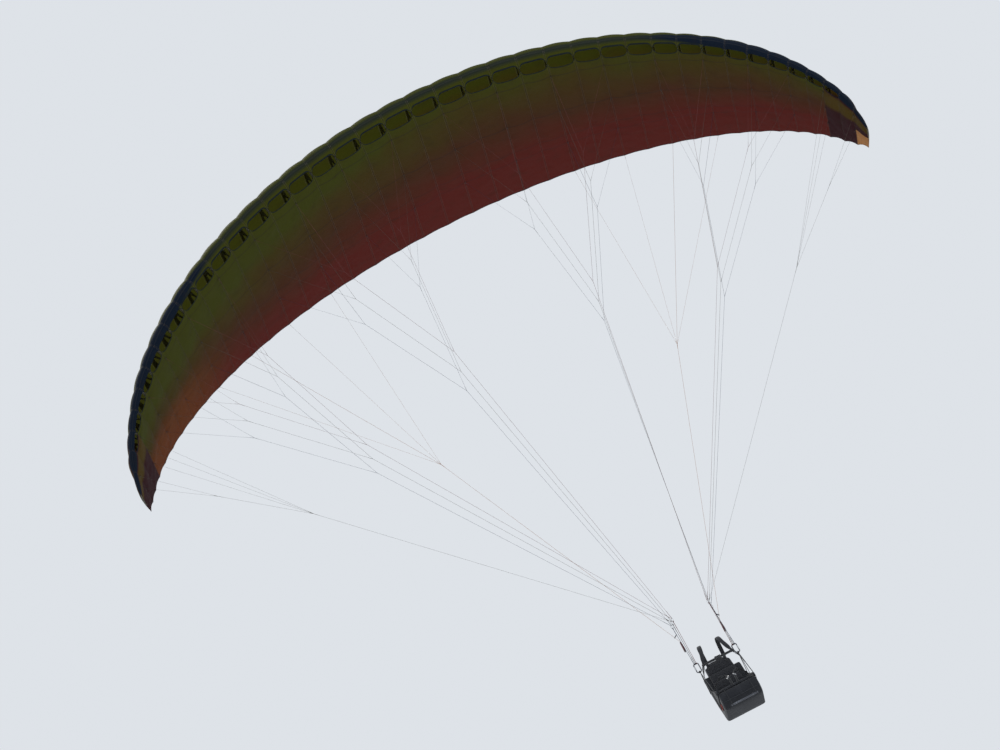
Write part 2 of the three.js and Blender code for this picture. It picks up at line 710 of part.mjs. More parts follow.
function chestStrap() {
  const at = { y: -50, z: -4, half: 150 };
  const web = new THREE.BoxGeometry(2 * at.half, 3, 28);
  const buckle = new THREE.BoxGeometry(64, 14, 44).translate(0, -5, 0);
  return union([web, buckle]).translate(0, at.y, at.z);
}
addMesh(harness, "chest_strap", chestStrap(), "webbing");

const hipInner = SEAT.wide / 2 + PIECE_GAP;
const legLoop = [
  [hipInner - 3.5, 26, -364],
  [hipInner - 4, 12, -320],
  [182, -20, -282],
  [140, -80, -252],
  [90, -150, -250],
  [48, -225, -290],
  [34, seatFront - 10, -365],
  [32, seatFront - 3.5, SEAT.z - 6],
];
addPair(harness, "leg_strap", strap(legLoop, 36, 6, ACROSS_Y, 18, ACROSS_X), "webbing");

const HANDLE = { y: -110, z: -530, wide: 110, tall: 46, bar: 12 };
function reserveHandle() {
  const shape = roundedBox(new THREE.Shape(), HANDLE.wide, HANDLE.tall, 18);
  const inner = [HANDLE.wide - 2 * HANDLE.bar, HANDLE.tall - 2 * HANDLE.bar];
  shape.holes.push(roundedBox(new THREE.Path(), ...inner, 8));
  const options = { depth: 10, bevelEnabled: false, curveSegments: 2 };
  return inSidePlane(new THREE.ExtrudeGeometry(shape, options), 0).translate(
    -PROTECTOR_WIDE / 2 - 10 - PIECE_GAP,
    HANDLE.y,
    HANDLE.z,
  );
}
addMesh(harness, "reserve_handle", reserveHandle(), "handle");

const SPEED_BAR = { half: 150, radius: 11, y: seatFront - 45, z: -640 };
function speedBar() {
  const bar = new THREE.CylinderGeometry(SPEED_BAR.radius, SPEED_BAR.radius, 2 * SPEED_BAR.half, 10);
  bar.rotateZ(Math.PI / 2).translate(0, SPEED_BAR.y, SPEED_BAR.z);
  const cords = [-1, 1].map((side) =>
    tube(
      [
        new THREE.Vector3(side * (SPEED_BAR.half - 15), SPEED_BAR.y, SPEED_BAR.z),
        new THREE.Vector3(side * (SPEED_BAR.half - 15), seatFront - 2.9, SEAT.z + 5),
      ],
      2.5,
    ),
  );
  return union([bar, ...cords]);
}
addMesh(harness, "speed_bar", speedBar(), "plastic");

export default group;
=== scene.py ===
import math
import bmesh
import bpy
import numpy as np
from mathutils import Matrix, Vector
from mathutils.bvhtree import BVHTree
from mathutils.geometry import tessellate_polygon


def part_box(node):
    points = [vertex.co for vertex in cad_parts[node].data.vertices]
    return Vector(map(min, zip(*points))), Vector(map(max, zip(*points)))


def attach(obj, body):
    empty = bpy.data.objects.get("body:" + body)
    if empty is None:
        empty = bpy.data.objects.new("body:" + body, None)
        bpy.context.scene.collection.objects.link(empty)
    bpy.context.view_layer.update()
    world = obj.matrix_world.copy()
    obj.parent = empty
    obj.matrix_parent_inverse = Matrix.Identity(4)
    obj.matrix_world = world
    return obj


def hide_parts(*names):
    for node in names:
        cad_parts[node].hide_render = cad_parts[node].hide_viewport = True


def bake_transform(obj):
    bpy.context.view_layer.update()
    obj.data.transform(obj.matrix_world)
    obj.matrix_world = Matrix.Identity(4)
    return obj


# A paraglider around its CAD frame. Metres, +Z up, the wing flies towards -Y, +X is its left.
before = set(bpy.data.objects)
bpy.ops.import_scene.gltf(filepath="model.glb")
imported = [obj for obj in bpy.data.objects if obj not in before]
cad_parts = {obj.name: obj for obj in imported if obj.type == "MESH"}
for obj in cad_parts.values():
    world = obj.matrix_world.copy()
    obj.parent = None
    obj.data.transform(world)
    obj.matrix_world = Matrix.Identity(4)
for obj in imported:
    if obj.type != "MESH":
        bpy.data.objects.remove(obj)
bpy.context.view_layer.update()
scene = bpy.context.scene
X, Y, Z = np.eye(3)
WORDS = {1: "_left", -1: "_right", 0: ""}

# The wing's shape, as in the solids. Along the span, rib number 0 is the middle and 20 the left tip.
HALF_SPAN, ARC_DROP, ARC_FULLNESS = 4.6, 2.02, 0.99
ROOT_CHORD, TIP_SHARE, SWEEP, LOAD = 2.7, 0.26, 0.68, 0.33
RIBS, TAPERED_FROM, CLOSED_FROM = 20, 12, 18
THICK, CAMBER, CAMBER_AT = 0.17, 0.03, 0.35
BILLOW, GATHER, SAG, SCALLOP, EDGE_HALF = 0.07, 0.0035, 0.004, 0.012, 0.0022
ROWS = {"a": 0.12, "b": 0.4, "c": 0.7}
LINE_HEIGHT, HANG_X = 7.3, 0.22
END = math.asin(ARC_FULLNESS)
ARC_X = HALF_SPAN / ARC_FULLNESS
ARC_Z = ARC_DROP / (1 - math.cos(END))
TIP_HALF = TIP_SHARE * ROOT_CHORD / 2
ROOT_SHIFT = (SWEEP - LOAD) * ROOT_CHORD


def smooth(t):
    t = np.clip(t, 0, 1)
    return t * t * (3 - 2 * t)


def station(u):
    """The wing's section at rib number u: middle, normal, nose, chord, thickness and place in its cell."""
    u = np.asarray(u, float)
    angle = u / RIBS * END
    c, s = np.cos(angle), np.sin(angle)
    slope = np.arctan2(ARC_Z * s, ARC_X * c)
    full = (c - math.cos(END)) / (1 - math.cos(END))
    front = ROOT_SHIFT - TIP_HALF - (SWEEP * ROOT_CHORD - TIP_HALF) * full
    rear = ROOT_SHIFT + TIP_HALF + ((1 - SWEEP) * ROOT_CHORD - TIP_HALF) * full
    out = np.abs(u)
    rounding = 1 - 0.38 * np.maximum(0, (out - CLOSED_FROM) / 2) ** 2
    pivot = front + 0.6 * (rear - front)
    frac = out - np.floor(out)
    return {
        "x": ARC_X * s, "z": -ARC_Z * (1 - c), "nx": np.sin(slope), "nz": np.cos(slope),
        "front": pivot + (front - pivot) * rounding, "chord": (rear - front) * rounding,
        "thick": THICK - 0.04 * smooth((out - TAPERED_FROM) / 6) - 0.08 * smooth((out - CLOSED_FROM) / 2),
        "cell": END / RIBS * np.hypot(ARC_X * c, ARC_Z * s),
        "bulge": 1 - (2 * np.abs(frac - 0.5)) ** 2, "near": np.minimum(frac, 1 - frac),
    }


def skin(u, t):
    """Points of the cloth at rib number u. The chord share is t * t, on the lower side if t is negative."""
    u, t = np.broadcast_arrays(np.asarray(u, float), np.asarray(t, float))
    s = station(u)
    cell, bulge = s["cell"], s["bulge"]
    side = np.where(t >= 0, 1.0, -1.0)
    x = np.minimum(t * t, 1.0)
    half = 5 * s["thick"] * (0.2969 * np.sqrt(x) - 0.126 * x - 0.3516 * x**2 + 0.2843 * x**3 - 0.1036 * x**4)
    rise = 2 * CAMBER_AT * x - x * x
    behind = (1 - 2 * CAMBER_AT + rise) / (1 - CAMBER_AT) ** 2
    camber = CAMBER * np.where(x < CAMBER_AT, rise / CAMBER_AT**2, behind)
    swell = BILLOW * cell * bulge * np.minimum(1, np.sqrt(x / 0.08)) * (1 - x**6)
    along = x * s["chord"]
    # Gathers run across the seams and fade towards the middle of each cell.
    pull = np.exp(-s["near"] * cell / 0.05) * smooth(s["near"] * cell / 0.012)
    wave = np.sin(along / 0.034 + 2.4 * np.round(u) + 1.3 * side)
    gather = GATHER * pull * wave * smooth((x - 0.03) / 0.05) * smooth((1 - x) / 0.06)
    slack = SAG * bulge * np.sin(along / 0.11 + 1.7 * np.floor(u) + side)
    swell += gather + slack * smooth((x - 0.05) / 0.1) * (1 - x**4) + EDGE_HALF * smooth((x - 0.9) / 0.1)
    h = (camber + side * half) * s["chord"] + side * swell
    nose = 0.045 * cell * bulge * np.maximum(0, 1 - np.abs(t) / 0.3) ** 2
    deeper = SCALLOP + 0.02 * smooth((np.abs(u) - TAPERED_FROM) / 7)
    y = s["front"] + along - nose - deeper * bulge * smooth((x - 0.93) / 0.07)
    return np.stack([s["x"] + h * s["nx"], y, s["z"] + h * s["nz"]], -1)


def anchor(rib, x):
    """A point of the lower skin at a rib, at the chord share x."""
    return skin(rib, -math.sqrt(x))


# Meshes
def add_object(name, data, material=None):
    made = bpy.data.objects.new(name, data)
    scene.collection.objects.link(made)
    if material:
        data.materials.append(material)
    return made


def add_mesh(name, verts, faces, material, attributes=(), soft=True):
    data = bpy.data.meshes.new(name)
    data.from_pydata([tuple(v) for v in np.asarray(verts, float)], [], faces)
    for key, values in dict(attributes).items():
        values = np.asarray(values, np.float32)
        kind, field = ("FLOAT_VECTOR", "vector") if values.ndim == 2 else ("FLOAT", "value")
        data.attributes.new(key, kind, "POINT").data.foreach_set(field, values.ravel())
    if soft:
        data.polygons.foreach_set("use_smooth", [True] * len(data.polygons))
    data.update()
    return add_object(name, data, material)


def grid_faces(rows, columns, wrap=False):
    faces = []
    for r in range(rows - 1):
        for c in range(columns if wrap else columns - 1):
            a, b = r * columns + c, r * columns + (c + 1) % columns
            faces.append((a, b, b + columns, a + columns))
    return faces


def dress(piece, body, node=None):
    """What a piece rides on, and the CAD node that it stands for."""
    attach(piece, body)
    if node:
        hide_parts(node)


class Builder:
    """Gathers shells in one mesh. All are made for the left; a right-hand piece is mirrored at the end."""

    def __init__(self, side=0):
        self.side = side
        self.verts, self.faces, self.extra = np.zeros((0, 3)), [], np.zeros((0, 3))

    def add(self, verts, faces, extra=None):
        self.faces += [[len(self.verts) + i for i in f] for f in faces]
        self.verts = np.vstack([self.verts, verts])
        self.extra = np.vstack([self.extra, np.zeros_like(verts) if extra is None else extra])

    def both_sides(self):
        """Adds the mirror image of every shell so far."""
        self.add(self.verts * (-1, 1, 1), list(self.faces), self.extra)

    def done(self, name, material, body, node=None, soft=True):
        word = WORDS[self.side]
        verts = self.verts * (self.side or 1, 1, 1)
        made = add_mesh(name + word, verts, self.faces, material, {"along": self.extra}, soft)
        shell = bmesh.new()
        shell.from_mesh(made.data)
        bmesh.ops.recalc_face_normals(shell, faces=shell.faces)
        shell.to_mesh(made.data)
        shell.free()
        dress(made, body, node and node + word)
        return made


def unit(v):
    return v / np.linalg.norm(v, axis=-1, keepdims=True)


def lerp(a, b, t):
    return a + (b - a) * t


def lengths(p):
    return np.concatenate([[0], np.cumsum(np.linalg.norm(np.diff(p, axis=0), axis=1))])


def turns(count):
    return 2 * np.pi * np.arange(count) / count


def around(gap, count):
    """Angles of nearly a whole turn, open by gap at both ends."""
    return np.linspace(gap, 2 * np.pi - gap, count)


def arc(centre, first, second, angles):
    """Points round a centre: first at angle 0, second at a right angle."""
    return np.array([centre + first * math.cos(a) + second * math.sin(a) for a in angles])


def circle(radius, sides):
    return [(radius * math.cos(a), radius * math.sin(a)) for a in turns(sides)]


def corner_arcs(half_wide, half_tall, corner, per=6):
    """A rounded oblong as pairs, anticlockwise from its lower right, with per points in each corner."""
    w, t = half_wide - corner, half_tall - corner
    points = []
    for k, (cx, cy) in enumerate(((w, -t), (w, t), (-w, t), (-w, -t))):
        for a in np.linspace((k - 1) * np.pi / 2, k * np.pi / 2, per):
            points.append((cx + corner * math.cos(a), cy + corner * math.sin(a)))
    return points


def web_profile(wide, thick):
    """A strap's section: two flat faces with rounded edges."""
    w, t, r = wide / 2, thick / 2, thick * 0.45
    half = [(-w, t - r), (r - w, t), (-w / 2, t), (0, t), (w / 2, t), (w - r, t), (w, t - r)]
    return half + [(-a, -b) for a, b in half]


def pad_profile(wide, thick):
    """A soft pad's section: crowned above, flatter below, thin at its edges."""
    w, t = wide / 2, thick / 2
    top = [(-w * math.cos(a), t * math.sin(a) ** 0.6) for a in np.linspace(0, math.pi, 13)]
    return top + [(w * math.cos(a), -t * math.sin(a) ** 0.5) for a in np.linspace(0, math.pi, 9)[1:-1]]


def curve_through(points, steps, closed=False):
    """A smooth curve through the points, as an array of steps points. A closed one ends where it starts."""
    p = np.asarray(points, float)
    before, after = (p[-1:], p[:2]) if closed else ([2 * p[0] - p[1]], [2 * p[-1] - p[-2]])
    p = np.vstack([before, p, after])
    t = np.linspace(0, len(p) - 3, steps)
    k = np.minimum(t.astype(int), len(p) - 4)
    f = (t - k)[:, None]
    a, b, c, d = (p[k + n] for n in range(4))
    return 0.5 * (2 * b + (c - a) * f + (2 * a - 5 * b + 4 * c - d) * f**2 + (3 * b - a - 3 * c + d) * f**3)


def frames_along(points, hint):
    """Points, tangents, sides and normals of a path. hint is the wanted side, one for all or one each."""
    p = np.asarray(points, float)
    d = unit(np.gradient(p, axis=0))
    hint = np.broadcast_to(np.asarray(hint, float), p.shape)
    s = unit(hint - (hint * d).sum(1)[:, None] * d)
    return p, d, s, np.cross(d, s)


def sweep(build, points, profile, hint, scale=1.0, caps=True):
    """Carries a closed profile of (side, normal) pairs along a path. Patterns use the lengths it keeps."""
    p, _, s, n = frames_along(points, hint)
    prof = np.asarray(profile, float)
    scale = np.broadcast_to(np.asarray(scale, float), len(p))[:, None, None]
    rings = p[:, None] + scale * (prof[None, :, :1] * s[:, None] + prof[None, :, 1:] * n[:, None])
    wide = np.abs(prof).max(0)
    extra = [(far, *(q / wide)) for far in lengths(p) for q in prof]
    faces = [f[::-1] for f in grid_faces(len(p), len(prof), wrap=True)]
    if caps:
        ring = range(len(prof))
        faces += [ring, [(len(p) - 1) * len(prof) + k for k in reversed(ring)]]
    build.add(rings.reshape(-1, 3), faces, extra)


def beam(build, base, way, spots, profile, hint, scale):
    """A straight sweep from base along way, through the spots, each with its scale."""
    sweep(build, [base + way * v for v in spots], profile, hint, scale)


def rod(build, base, way, low, high, profile, hint, ease, end):
    """A straight bar from low to high, drawn in to the share end over the length ease at both ends."""
    beam(build, base, way, (low, low + ease, high - ease, high), profile, hint, (end, 1, 1, end))


def closed_tube(build, loop, normal, radius, sides, flat=1.0):
    """A bar bent to a closed loop in the plane of normal, flat times as thick along normal as across."""
    side = np.cross(normal, unit(np.roll(loop, -1, 0) - np.roll(loop, 1, 0)))
    rings = [arc(q, radius * s, flat * radius * normal, turns(sides)) for q, s in zip(loop, side)]
    count = len(loop) * sides
    faces = [[i % count for i in f] for f in grid_faces(len(loop) + 1, sides, wrap=True)]
    build.add(np.vstack(rings), faces)


# Materials
class Material:
    """A helper round one node tree. Its calls return sockets, and take colours as (red, green, blue)."""

    def __init__(self, name, roughness=0.8, metallic=0.0, specular=0.5, sheen=0.0):
        self.material = bpy.data.materials.new(name)
        self.material.use_nodes = True
        self.tree = self.material.node_tree
        self.shader = self.tree.nodes["Principled BSDF"]
        self.shader.inputs["Roughness"].default_value = roughness
        self.shader.inputs["Metallic"].default_value = metallic
        self.shader.inputs["Specular IOR Level"].default_value = specular
        self.shader.inputs["Sheen Weight"].default_value = sheen

    def plug(self, value, socket):
        if isinstance(value, bpy.types.NodeSocket):
            self.tree.links.new(value, socket)
        elif value is not None:
            socket.default_value = (*value, 1) if socket.type == "RGBA" else value

    def node(self, kind, inputs=(), **settings):
        made = self.tree.nodes.new("ShaderNode" + kind)
        for key, value in settings.items():
            setattr(made, key, value)
        for key, value in dict(inputs).items():
            self.plug(value, made.inputs[key])
        return made

    def math(self, operation, a, b=None, c=None, clamp=False):
        return self.node("Math", {0: a, 1: b, 2: c}, operation=operation, use_clamp=clamp).outputs[0]

    def times(self, a, b):
        return self.math("MULTIPLY", a, b)

    def attribute(self, name, output="Fac"):
        return self.node("Attribute", attribute_name=name).outputs[output]

    def place(self):
        return self.node("TexCoord").outputs["Object"]

    def split(self, vector):
        return self.node("SeparateXYZ", {0: vector}).outputs

    def scaled(self, vector, factors):
        return self.node("VectorMath", {0: vector, 1: factors}, operation="MULTIPLY").outputs[0]

    def mix(self, factor, a, b):
        return self.node("Mix", {0: factor, 6: a, 7: b}, data_type="RGBA").outputs[2]

    def over(self, color, mask, amount, top):
        """The colour top laid over color where mask is 1, as strongly as amount says."""
        return self.mix(self.times(mask, amount), color, top)

    def step(self, value, low, high):
        """0 below low, 1 above high, smooth between; low may be above high."""
        inputs = {0: value, 1: low, 2: high, 3: 0.0, 4: 1.0}
        return self.node("MapRange", inputs, interpolation_type="SMOOTHSTEP").outputs[0]

    def stripe(self, value, middle, outer, inner):
        """1 within inner of the middle value, 0 beyond outer."""
        return self.step(self.math("ABSOLUTE", self.math("SUBTRACT", value, middle)), outer, inner)

    def ramp(self, value, stops):
        made = self.node("ValToRGB", {0: value})
        elements = made.color_ramp.elements
        while len(elements) < len(stops):
            elements.new(0.5)
        for element, (position, color) in zip(elements, stops):
            element.position = position
            element.color = (*color, 1)
        return made.outputs[0]

    def noise(self, vector, scale, detail=3.0, rough=0.5):
        inputs = {"Vector": vector, "Scale": scale, "Detail": detail, "Roughness": rough}
        return self.node("TexNoise", inputs).outputs[0]

    def bump(self, height, strength, distance, after=None):
        inputs = {"Height": height, "Strength": strength, "Distance": distance, "Normal": after}
        return self.node("Bump", inputs).outputs[0]

    def finish(self, color, normal=None, roughness=None):
        for key, value in (("Base Color", color), ("Normal", normal), ("Roughness", roughness)):
            self.plug(value, self.shader.inputs[key])
        return self.material

    def let_through(self, share, color, normal=None):
        """Lets a share of the light come through thin cloth."""
        through = self.node("BsdfTranslucent", {"Color": color, "Normal": normal})
        both = self.node("MixShader", {0: share, 1: self.shader.outputs[0], 2: through.outputs[0]})
        self.plug(both.outputs[0], self.tree.nodes["Material Output"].inputs["Surface"])
        return self.material


def tint(color, factor, lift=0.0):
    return tuple(min(1, factor * c + lift) for c in color)


# The canopy's colours from lime to maroon, and yellow, are darker than the cloth's own: they also carry
# painted shade of the backlit underside
LIME, OLIVE, BROWN = (0.064, 0.070, 0.007), (0.074, 0.052, 0.008), (0.085, 0.030, 0.011)
ORANGE, RED, MAROON = (0.190, 0.055, 0.010), (0.135, 0.016, 0.011), (0.042, 0.008, 0.012)
NAVY, YELLOW, PAINTED_SUN_SPOT = (0.006, 0.014, 0.030), (0.090, 0.054, 0.006), (0.50, 0.24, 0.09)
HEM, SEAM_AND_RIB_SHADOW, STITCH = (0.05, 0.012, 0.016), (0.03, 0.02, 0.02), (0.35, 0.31, 0.25)
SMUDGE, THREAD = (0.035, 0.022, 0.012), (0.20, 0.17, 0.12)
CELL_WIDE = 0.33  # about the width of a cell, to turn rib numbers into metres
BAND_ROWS = (*ROWS.values(), 0.62)  # chord shares of the sewn bands: the line rows and the rear strip's seam


def canopy_cloth():
    m = Material("canopy_cloth", roughness=0.65, specular=0.05, sheen=0.01)
    u, x, lip = m.attribute("span"), m.attribute("chord"), m.attribute("lip")
    cloth = m.attribute("cloth", "Vector")
    across, along, under = m.split(cloth)
    out = m.math("ABSOLUTE", u)
    # The green runs further back towards one side and on the upper skin, whose inside shows in the intakes.
    shift = m.times(m.step(u, 13.0, -14.0), 0.26)
    shift = m.math("ADD", shift, m.times(m.step(under, 30.0, 10.0), 0.22))
    shift = m.math("SUBTRACT", shift, m.times(m.step(out, 11.0, 0.0), 0.08))
    wander = m.math("MULTIPLY_ADD", m.noise(cloth, 1.6, 3.0, 0.55), 0.26, -0.13)
    back = m.math("ADD", m.math("SUBTRACT", x, shift), wander, clamp=True)
    color = m.ramp(back, [(0.0, LIME), (0.03, LIME), (0.16, OLIVE), (0.38, BROWN), (0.66, RED), (1.0, RED)])
    color = m.over(color, m.times(m.step(u, -9.0, -13.5), m.step(x, 0.45, 0.7)), 0.75, ORANGE)
    # Tip panels, maroon with a yellow patch, and a painted sunlit spot in pale peach on the left one only
    patch = m.times(m.step(x, 0.40, 0.30), m.step(x, 0.06, 0.12))
    color = m.mix(m.step(out, 16.97, 17.03), color, m.mix(patch, MAROON, YELLOW))
    # Painted highlight: a sunlit spot at the left tip's rear corner
    color = m.mix(m.times(m.step(u, 18.97, 19.03), m.step(x, 0.55, 0.57)), color, PAINTED_SUN_SPOT)
    # Dark nose band, wider towards the tips, and dark edges along the rear and round the intakes
    band = m.math("MULTIPLY_ADD", m.step(out, 8.0, 18.0), 0.055, 0.006)
    color = m.mix(m.math("MULTIPLY", m.math("SUBTRACT", band, x), 120.0, clamp=True), color, NAVY)
    color = m.over(color, m.step(x, 0.988, 0.994), 0.8, HEM)
    color = m.over(color, m.step(lip, 0.014, 0.010), 0.85, NAVY)
    # Seams at each rib, darkened also as painted shadow of the ribs seen through the cloth, rows of stitches
    # beside them, and bands across
    near = m.times(m.math("PINGPONG", u, 0.5), CELL_WIDE)
    lines = m.step(near, 0.007, 0.002)
    for row in BAND_ROWS:
        lines = m.math("MAXIMUM", lines, m.stripe(x, row, 0.0045, 0.002))
    dash = m.step(m.math("FRACT", m.times(along, 140.0)), 0.45, 0.55)
    stitch = m.times(m.stripe(near, 0.009, 0.0018, 0.0006), dash)
    # The seam colour is partly real seams and partly painted shadow of the ribs through the cloth
    color = m.over(color, lines, 0.38, SEAM_AND_RIB_SHADOW)
    color = m.over(color, stitch, 0.4, STITCH)
    color = m.over(color, m.step(m.noise(cloth, 5.5, 5.0, 0.6), 0.5, 0.72), 0.22, SMUDGE)
    # Ripstop squares, and fine creases pulled across the seams
    threads = [m.step(m.math("PINGPONG", m.times(way, 200.0), 0.5), 0.10, 0.03) for way in (across, along)]
    threads = m.math("MAXIMUM", *threads)
    color = m.over(color, threads, 0.08, THREAD)
    crease = m.times(m.noise(m.scaled(cloth, (5.0, 34.0, 1.0)), 1.0, 4.0, 0.6), m.step(near, 0.13, 0.01))
    broad = m.noise(m.scaled(cloth, (4.0, 7.0, 1.0)), 1.0, 3.0, 0.5)
    normal = m.bump(m.math("ADD", m.times(crease, 0.6), broad), 0.7, 0.012)
    normal = m.bump(m.math("MAXIMUM", threads, m.times(stitch, 3.0)), 0.3, 0.0004, normal)
    m.finish(color, normal)
    return m.let_through(0.32, color, normal)


def rib_cloth():
    m = Material("rib_cloth", roughness=0.6)
    # The rib colour is darker than the cloth's own: painted shade inside the wing
    color = m.ramp(m.noise(m.place(), 6.0), [(0.3, (0.15, 0.145, 0.11)), (0.7, (0.20, 0.19, 0.15))])
    weave = m.node("TexVoronoi", {"Vector": m.place(), "Scale": 180.0}).outputs[0]
    m.finish(color, m.bump(weave, 0.2, 0.0005))
    return m.let_through(0.4, color)


def cord_material(name, dark, light):
    """Braided cord: two sets of spiral threads round the line."""
    m = Material(name, roughness=0.7)
    inputs = {"Vector": m.place(), "Scale": 260.0, "Distortion": 1.5}
    braid = m.node("TexWave", inputs, bands_direction="DIAGONAL").outputs[1]
    color = m.mix(m.times(braid, 0.6), dark, light)
    color = m.over(color, m.noise(m.place(), 3.0, 4.0), 0.3, tint(dark, 0.6))
    return m.finish(color, m.bump(braid, 0.4, 0.0003))


def web_material(name, dark, light, thread=(0.30, 0.29, 0.27)):
    """Flat webbing: chevron twill, ribbed edges, two rows of stitches."""
    m = Material(name, roughness=0.85)
    along, across, _ = m.split(m.attribute("along", "Vector"))
    edge = m.math("ABSOLUTE", across)
    slant = m.times(m.math("PINGPONG", across, 0.5), 9.0)
    twill = m.math("PINGPONG", m.math("FRACT", m.math("MULTIPLY_ADD", along, 560.0, slant)), 0.5)
    dash = m.step(m.math("PINGPONG", m.times(along, 240.0), 0.5), 0.14, 0.2)
    stitch = m.times(m.stripe(edge, 0.72, 0.07, 0.03), dash)
    color = m.over(m.mix(twill, dark, light), m.step(edge, 0.86, 0.98), 0.45, tint(light, 1.8, 0.03))
    color = m.over(color, stitch, 0.8, thread)
    color = m.over(color, m.step(m.noise(m.place(), 14.0, 4.0), 0.55, 0.8), 0.3, tint(light, 0.5, 0.05))
    return m.finish(color, m.bump(m.math("MULTIPLY_ADD", stitch, 1.6, twill), 0.6, 0.0006))


def metal(name, color, roughness, scratch=0.25):
    m = Material(name, roughness=roughness, metallic=1.0)
    worn = m.noise(m.scaled(m.place(), (30.0, 30.0, 260.0)), 1.0, 5.0, 0.65)
    rub = m.step(m.noise(m.place(), 60.0, 4.0), 0.56, 0.72)
    rough = m.node("MapRange", {0: worn, 1: 0.3, 2: 0.7, 3: roughness * 0.75, 4: roughness * 1.35}).outputs[0]
    shade = m.mix(m.times(rub, scratch), color, tint(color, 1.6, 0.12))
    return m.finish(shade, m.bump(worn, 0.12, 0.0004), rough)


def moulded(name, color):
    m = Material(name, roughness=0.45)
    dust = m.step(m.noise(m.place(), 40.0, 4.0), 0.52, 0.75)
    shade = m.mix(m.times(dust, 0.25), color, tint(color, 1, 0.06))
    return m.finish(shade, m.bump(m.noise(m.place(), 900.0, 2.0), 0.25, 0.0003))


def crossed(m, threads):
    """Waves along the axes, added. The one that the surface faces stays out: it would draw height lines."""
    where = m.node("TexCoord").outputs
    total = None
    for way, facing in zip(m.split(where["Object"]), m.split(where["Normal"])):
        wave = m.times(m.math("SINE", m.times(way, threads)), m.step(m.math("ABSOLUTE", facing), 0.8, 0.5))
        total = wave if total is None else m.math("ADD", total, wave)
    return total


def along_strap(m, threads, half_wide):
    """Waves along and across a swept strap, added, from the lengths that the sweep keeps."""
    along, across, _ = m.split(m.attribute("along", "Vector"))
    long = m.math("SINE", m.times(along, threads))
    return m.math("ADD", long, m.math("SINE", m.times(across, threads * half_wide)))


def fabric(name, dark, light, threads=2600.0, rough=0.85, worn=0.2):
    """Plain woven nylon: crossed threads, faded where it rubs."""
    m = Material(name, roughness=rough, specular=0.3, sheen=0.12)
    weave = m.math("MULTIPLY_ADD", crossed(m, threads), 0.17, 0.5, clamp=True)
    patchy = m.step(m.noise(m.place(), 9.0, 5.0, 0.6), 0.5, 0.8)
    color = m.over(m.mix(weave, dark, light), patchy, worn, tint(light, 2.2, 0.03))
    folds = m.bump(m.noise(m.scaled(m.place(), (1.0, 1.3, 0.8)), 22.0, 3.0), 0.35, 0.006)
    return m.finish(color, m.bump(weave, 0.5, 0.0006, folds))


def spacer_mesh(name, half_wide=None):
    """Open knitted spacer: rows of small round holes over a soft base. half_wide is a strap's half width."""
    m = Material(name, roughness=0.95, specular=0.2, sheen=0.2)
    dark, light, threads = (0.006, 0.006, 0.008), (0.030, 0.031, 0.036), 1300.0
    waves = along_strap(m, threads, half_wide) if half_wide else crossed(m, threads)
    hole = m.step(waves, 1.1, 0.7)
    patchy = m.noise(m.place(), 12.0, 4.0, 0.6)
    color = m.over(m.mix(hole, dark, light), m.step(patchy, 0.5, 0.8), 0.25, tint(light, 1.6, 0.02))
    return m.finish(color, m.bump(hole, 0.6, 0.0009, m.bump(patchy, 0.25, 0.004)))


CLOTH = canopy_cloth()
RIB = rib_cloth()
LINE_COLOURS = {"a": (0.10, 0.022, 0.02), "b": (0.075, 0.065, 0.05), "c": (0.025, 0.035, 0.07)}
LINE = {row: cord_material("line_" + row, c, tint(c, 1.7, 0.02)) for row, c in LINE_COLOURS.items()}
BRAKE_LINE = cord_material("brake_cord", (0.30, 0.10, 0.02), (0.50, 0.2, 0.05))
BLACK_CORD = cord_material("black_cord", (0.012, 0.012, 0.014), (0.045, 0.045, 0.05))
WEB = web_material("webbing_black", (0.010, 0.011, 0.013), (0.030, 0.031, 0.035))
RISER_WEB = {
    "a": web_material("webbing_a", (0.07, 0.012, 0.012), (0.16, 0.03, 0.03), (0.5, 0.45, 0.4)),
    "b": web_material("webbing_b", (0.012, 0.013, 0.015), (0.035, 0.036, 0.04)),
    "c": web_material("webbing_c", (0.012, 0.018, 0.04), (0.03, 0.045, 0.09)),
}
HANDLE_WEB = web_material("webbing_red", (0.20, 0.012, 0.010), (0.42, 0.035, 0.025), (0.6, 0.55, 0.5))
STEEL = metal("steel_plated", (0.55, 0.56, 0.57), 0.28)
ALLOY = metal("alloy_anodised", (0.10, 0.105, 0.12), 0.36, 0.5)
PLASTIC = moulded("plastic_black", (0.014, 0.014, 0.016))
NYLON = fabric("harness_nylon", (0.008, 0.009, 0.012), (0.024, 0.026, 0.032))
NAVY_NYLON = fabric("harness_navy", (0.010, 0.014, 0.028), (0.022, 0.030, 0.055))
SPACER = spacer_mesh("harness_spacer")
STRAP_SPACER = spacer_mesh("strap_spacer", 0.02)
PIPING = fabric("harness_piping", (0.018, 0.020, 0.026), (0.045, 0.048, 0.056), 3600.0, rough=0.7, worn=0.1)


# Camera, at the photograph's angle, turned to centre the object in a frame of 4 to 3
AZIMUTH, ELEVATION, ROLL = (math.radians(v) for v in (-5.9, 32.77, -29.84))
EYE_DISTANCE, FILL, SENSOR = 35.24, 0.90, 36


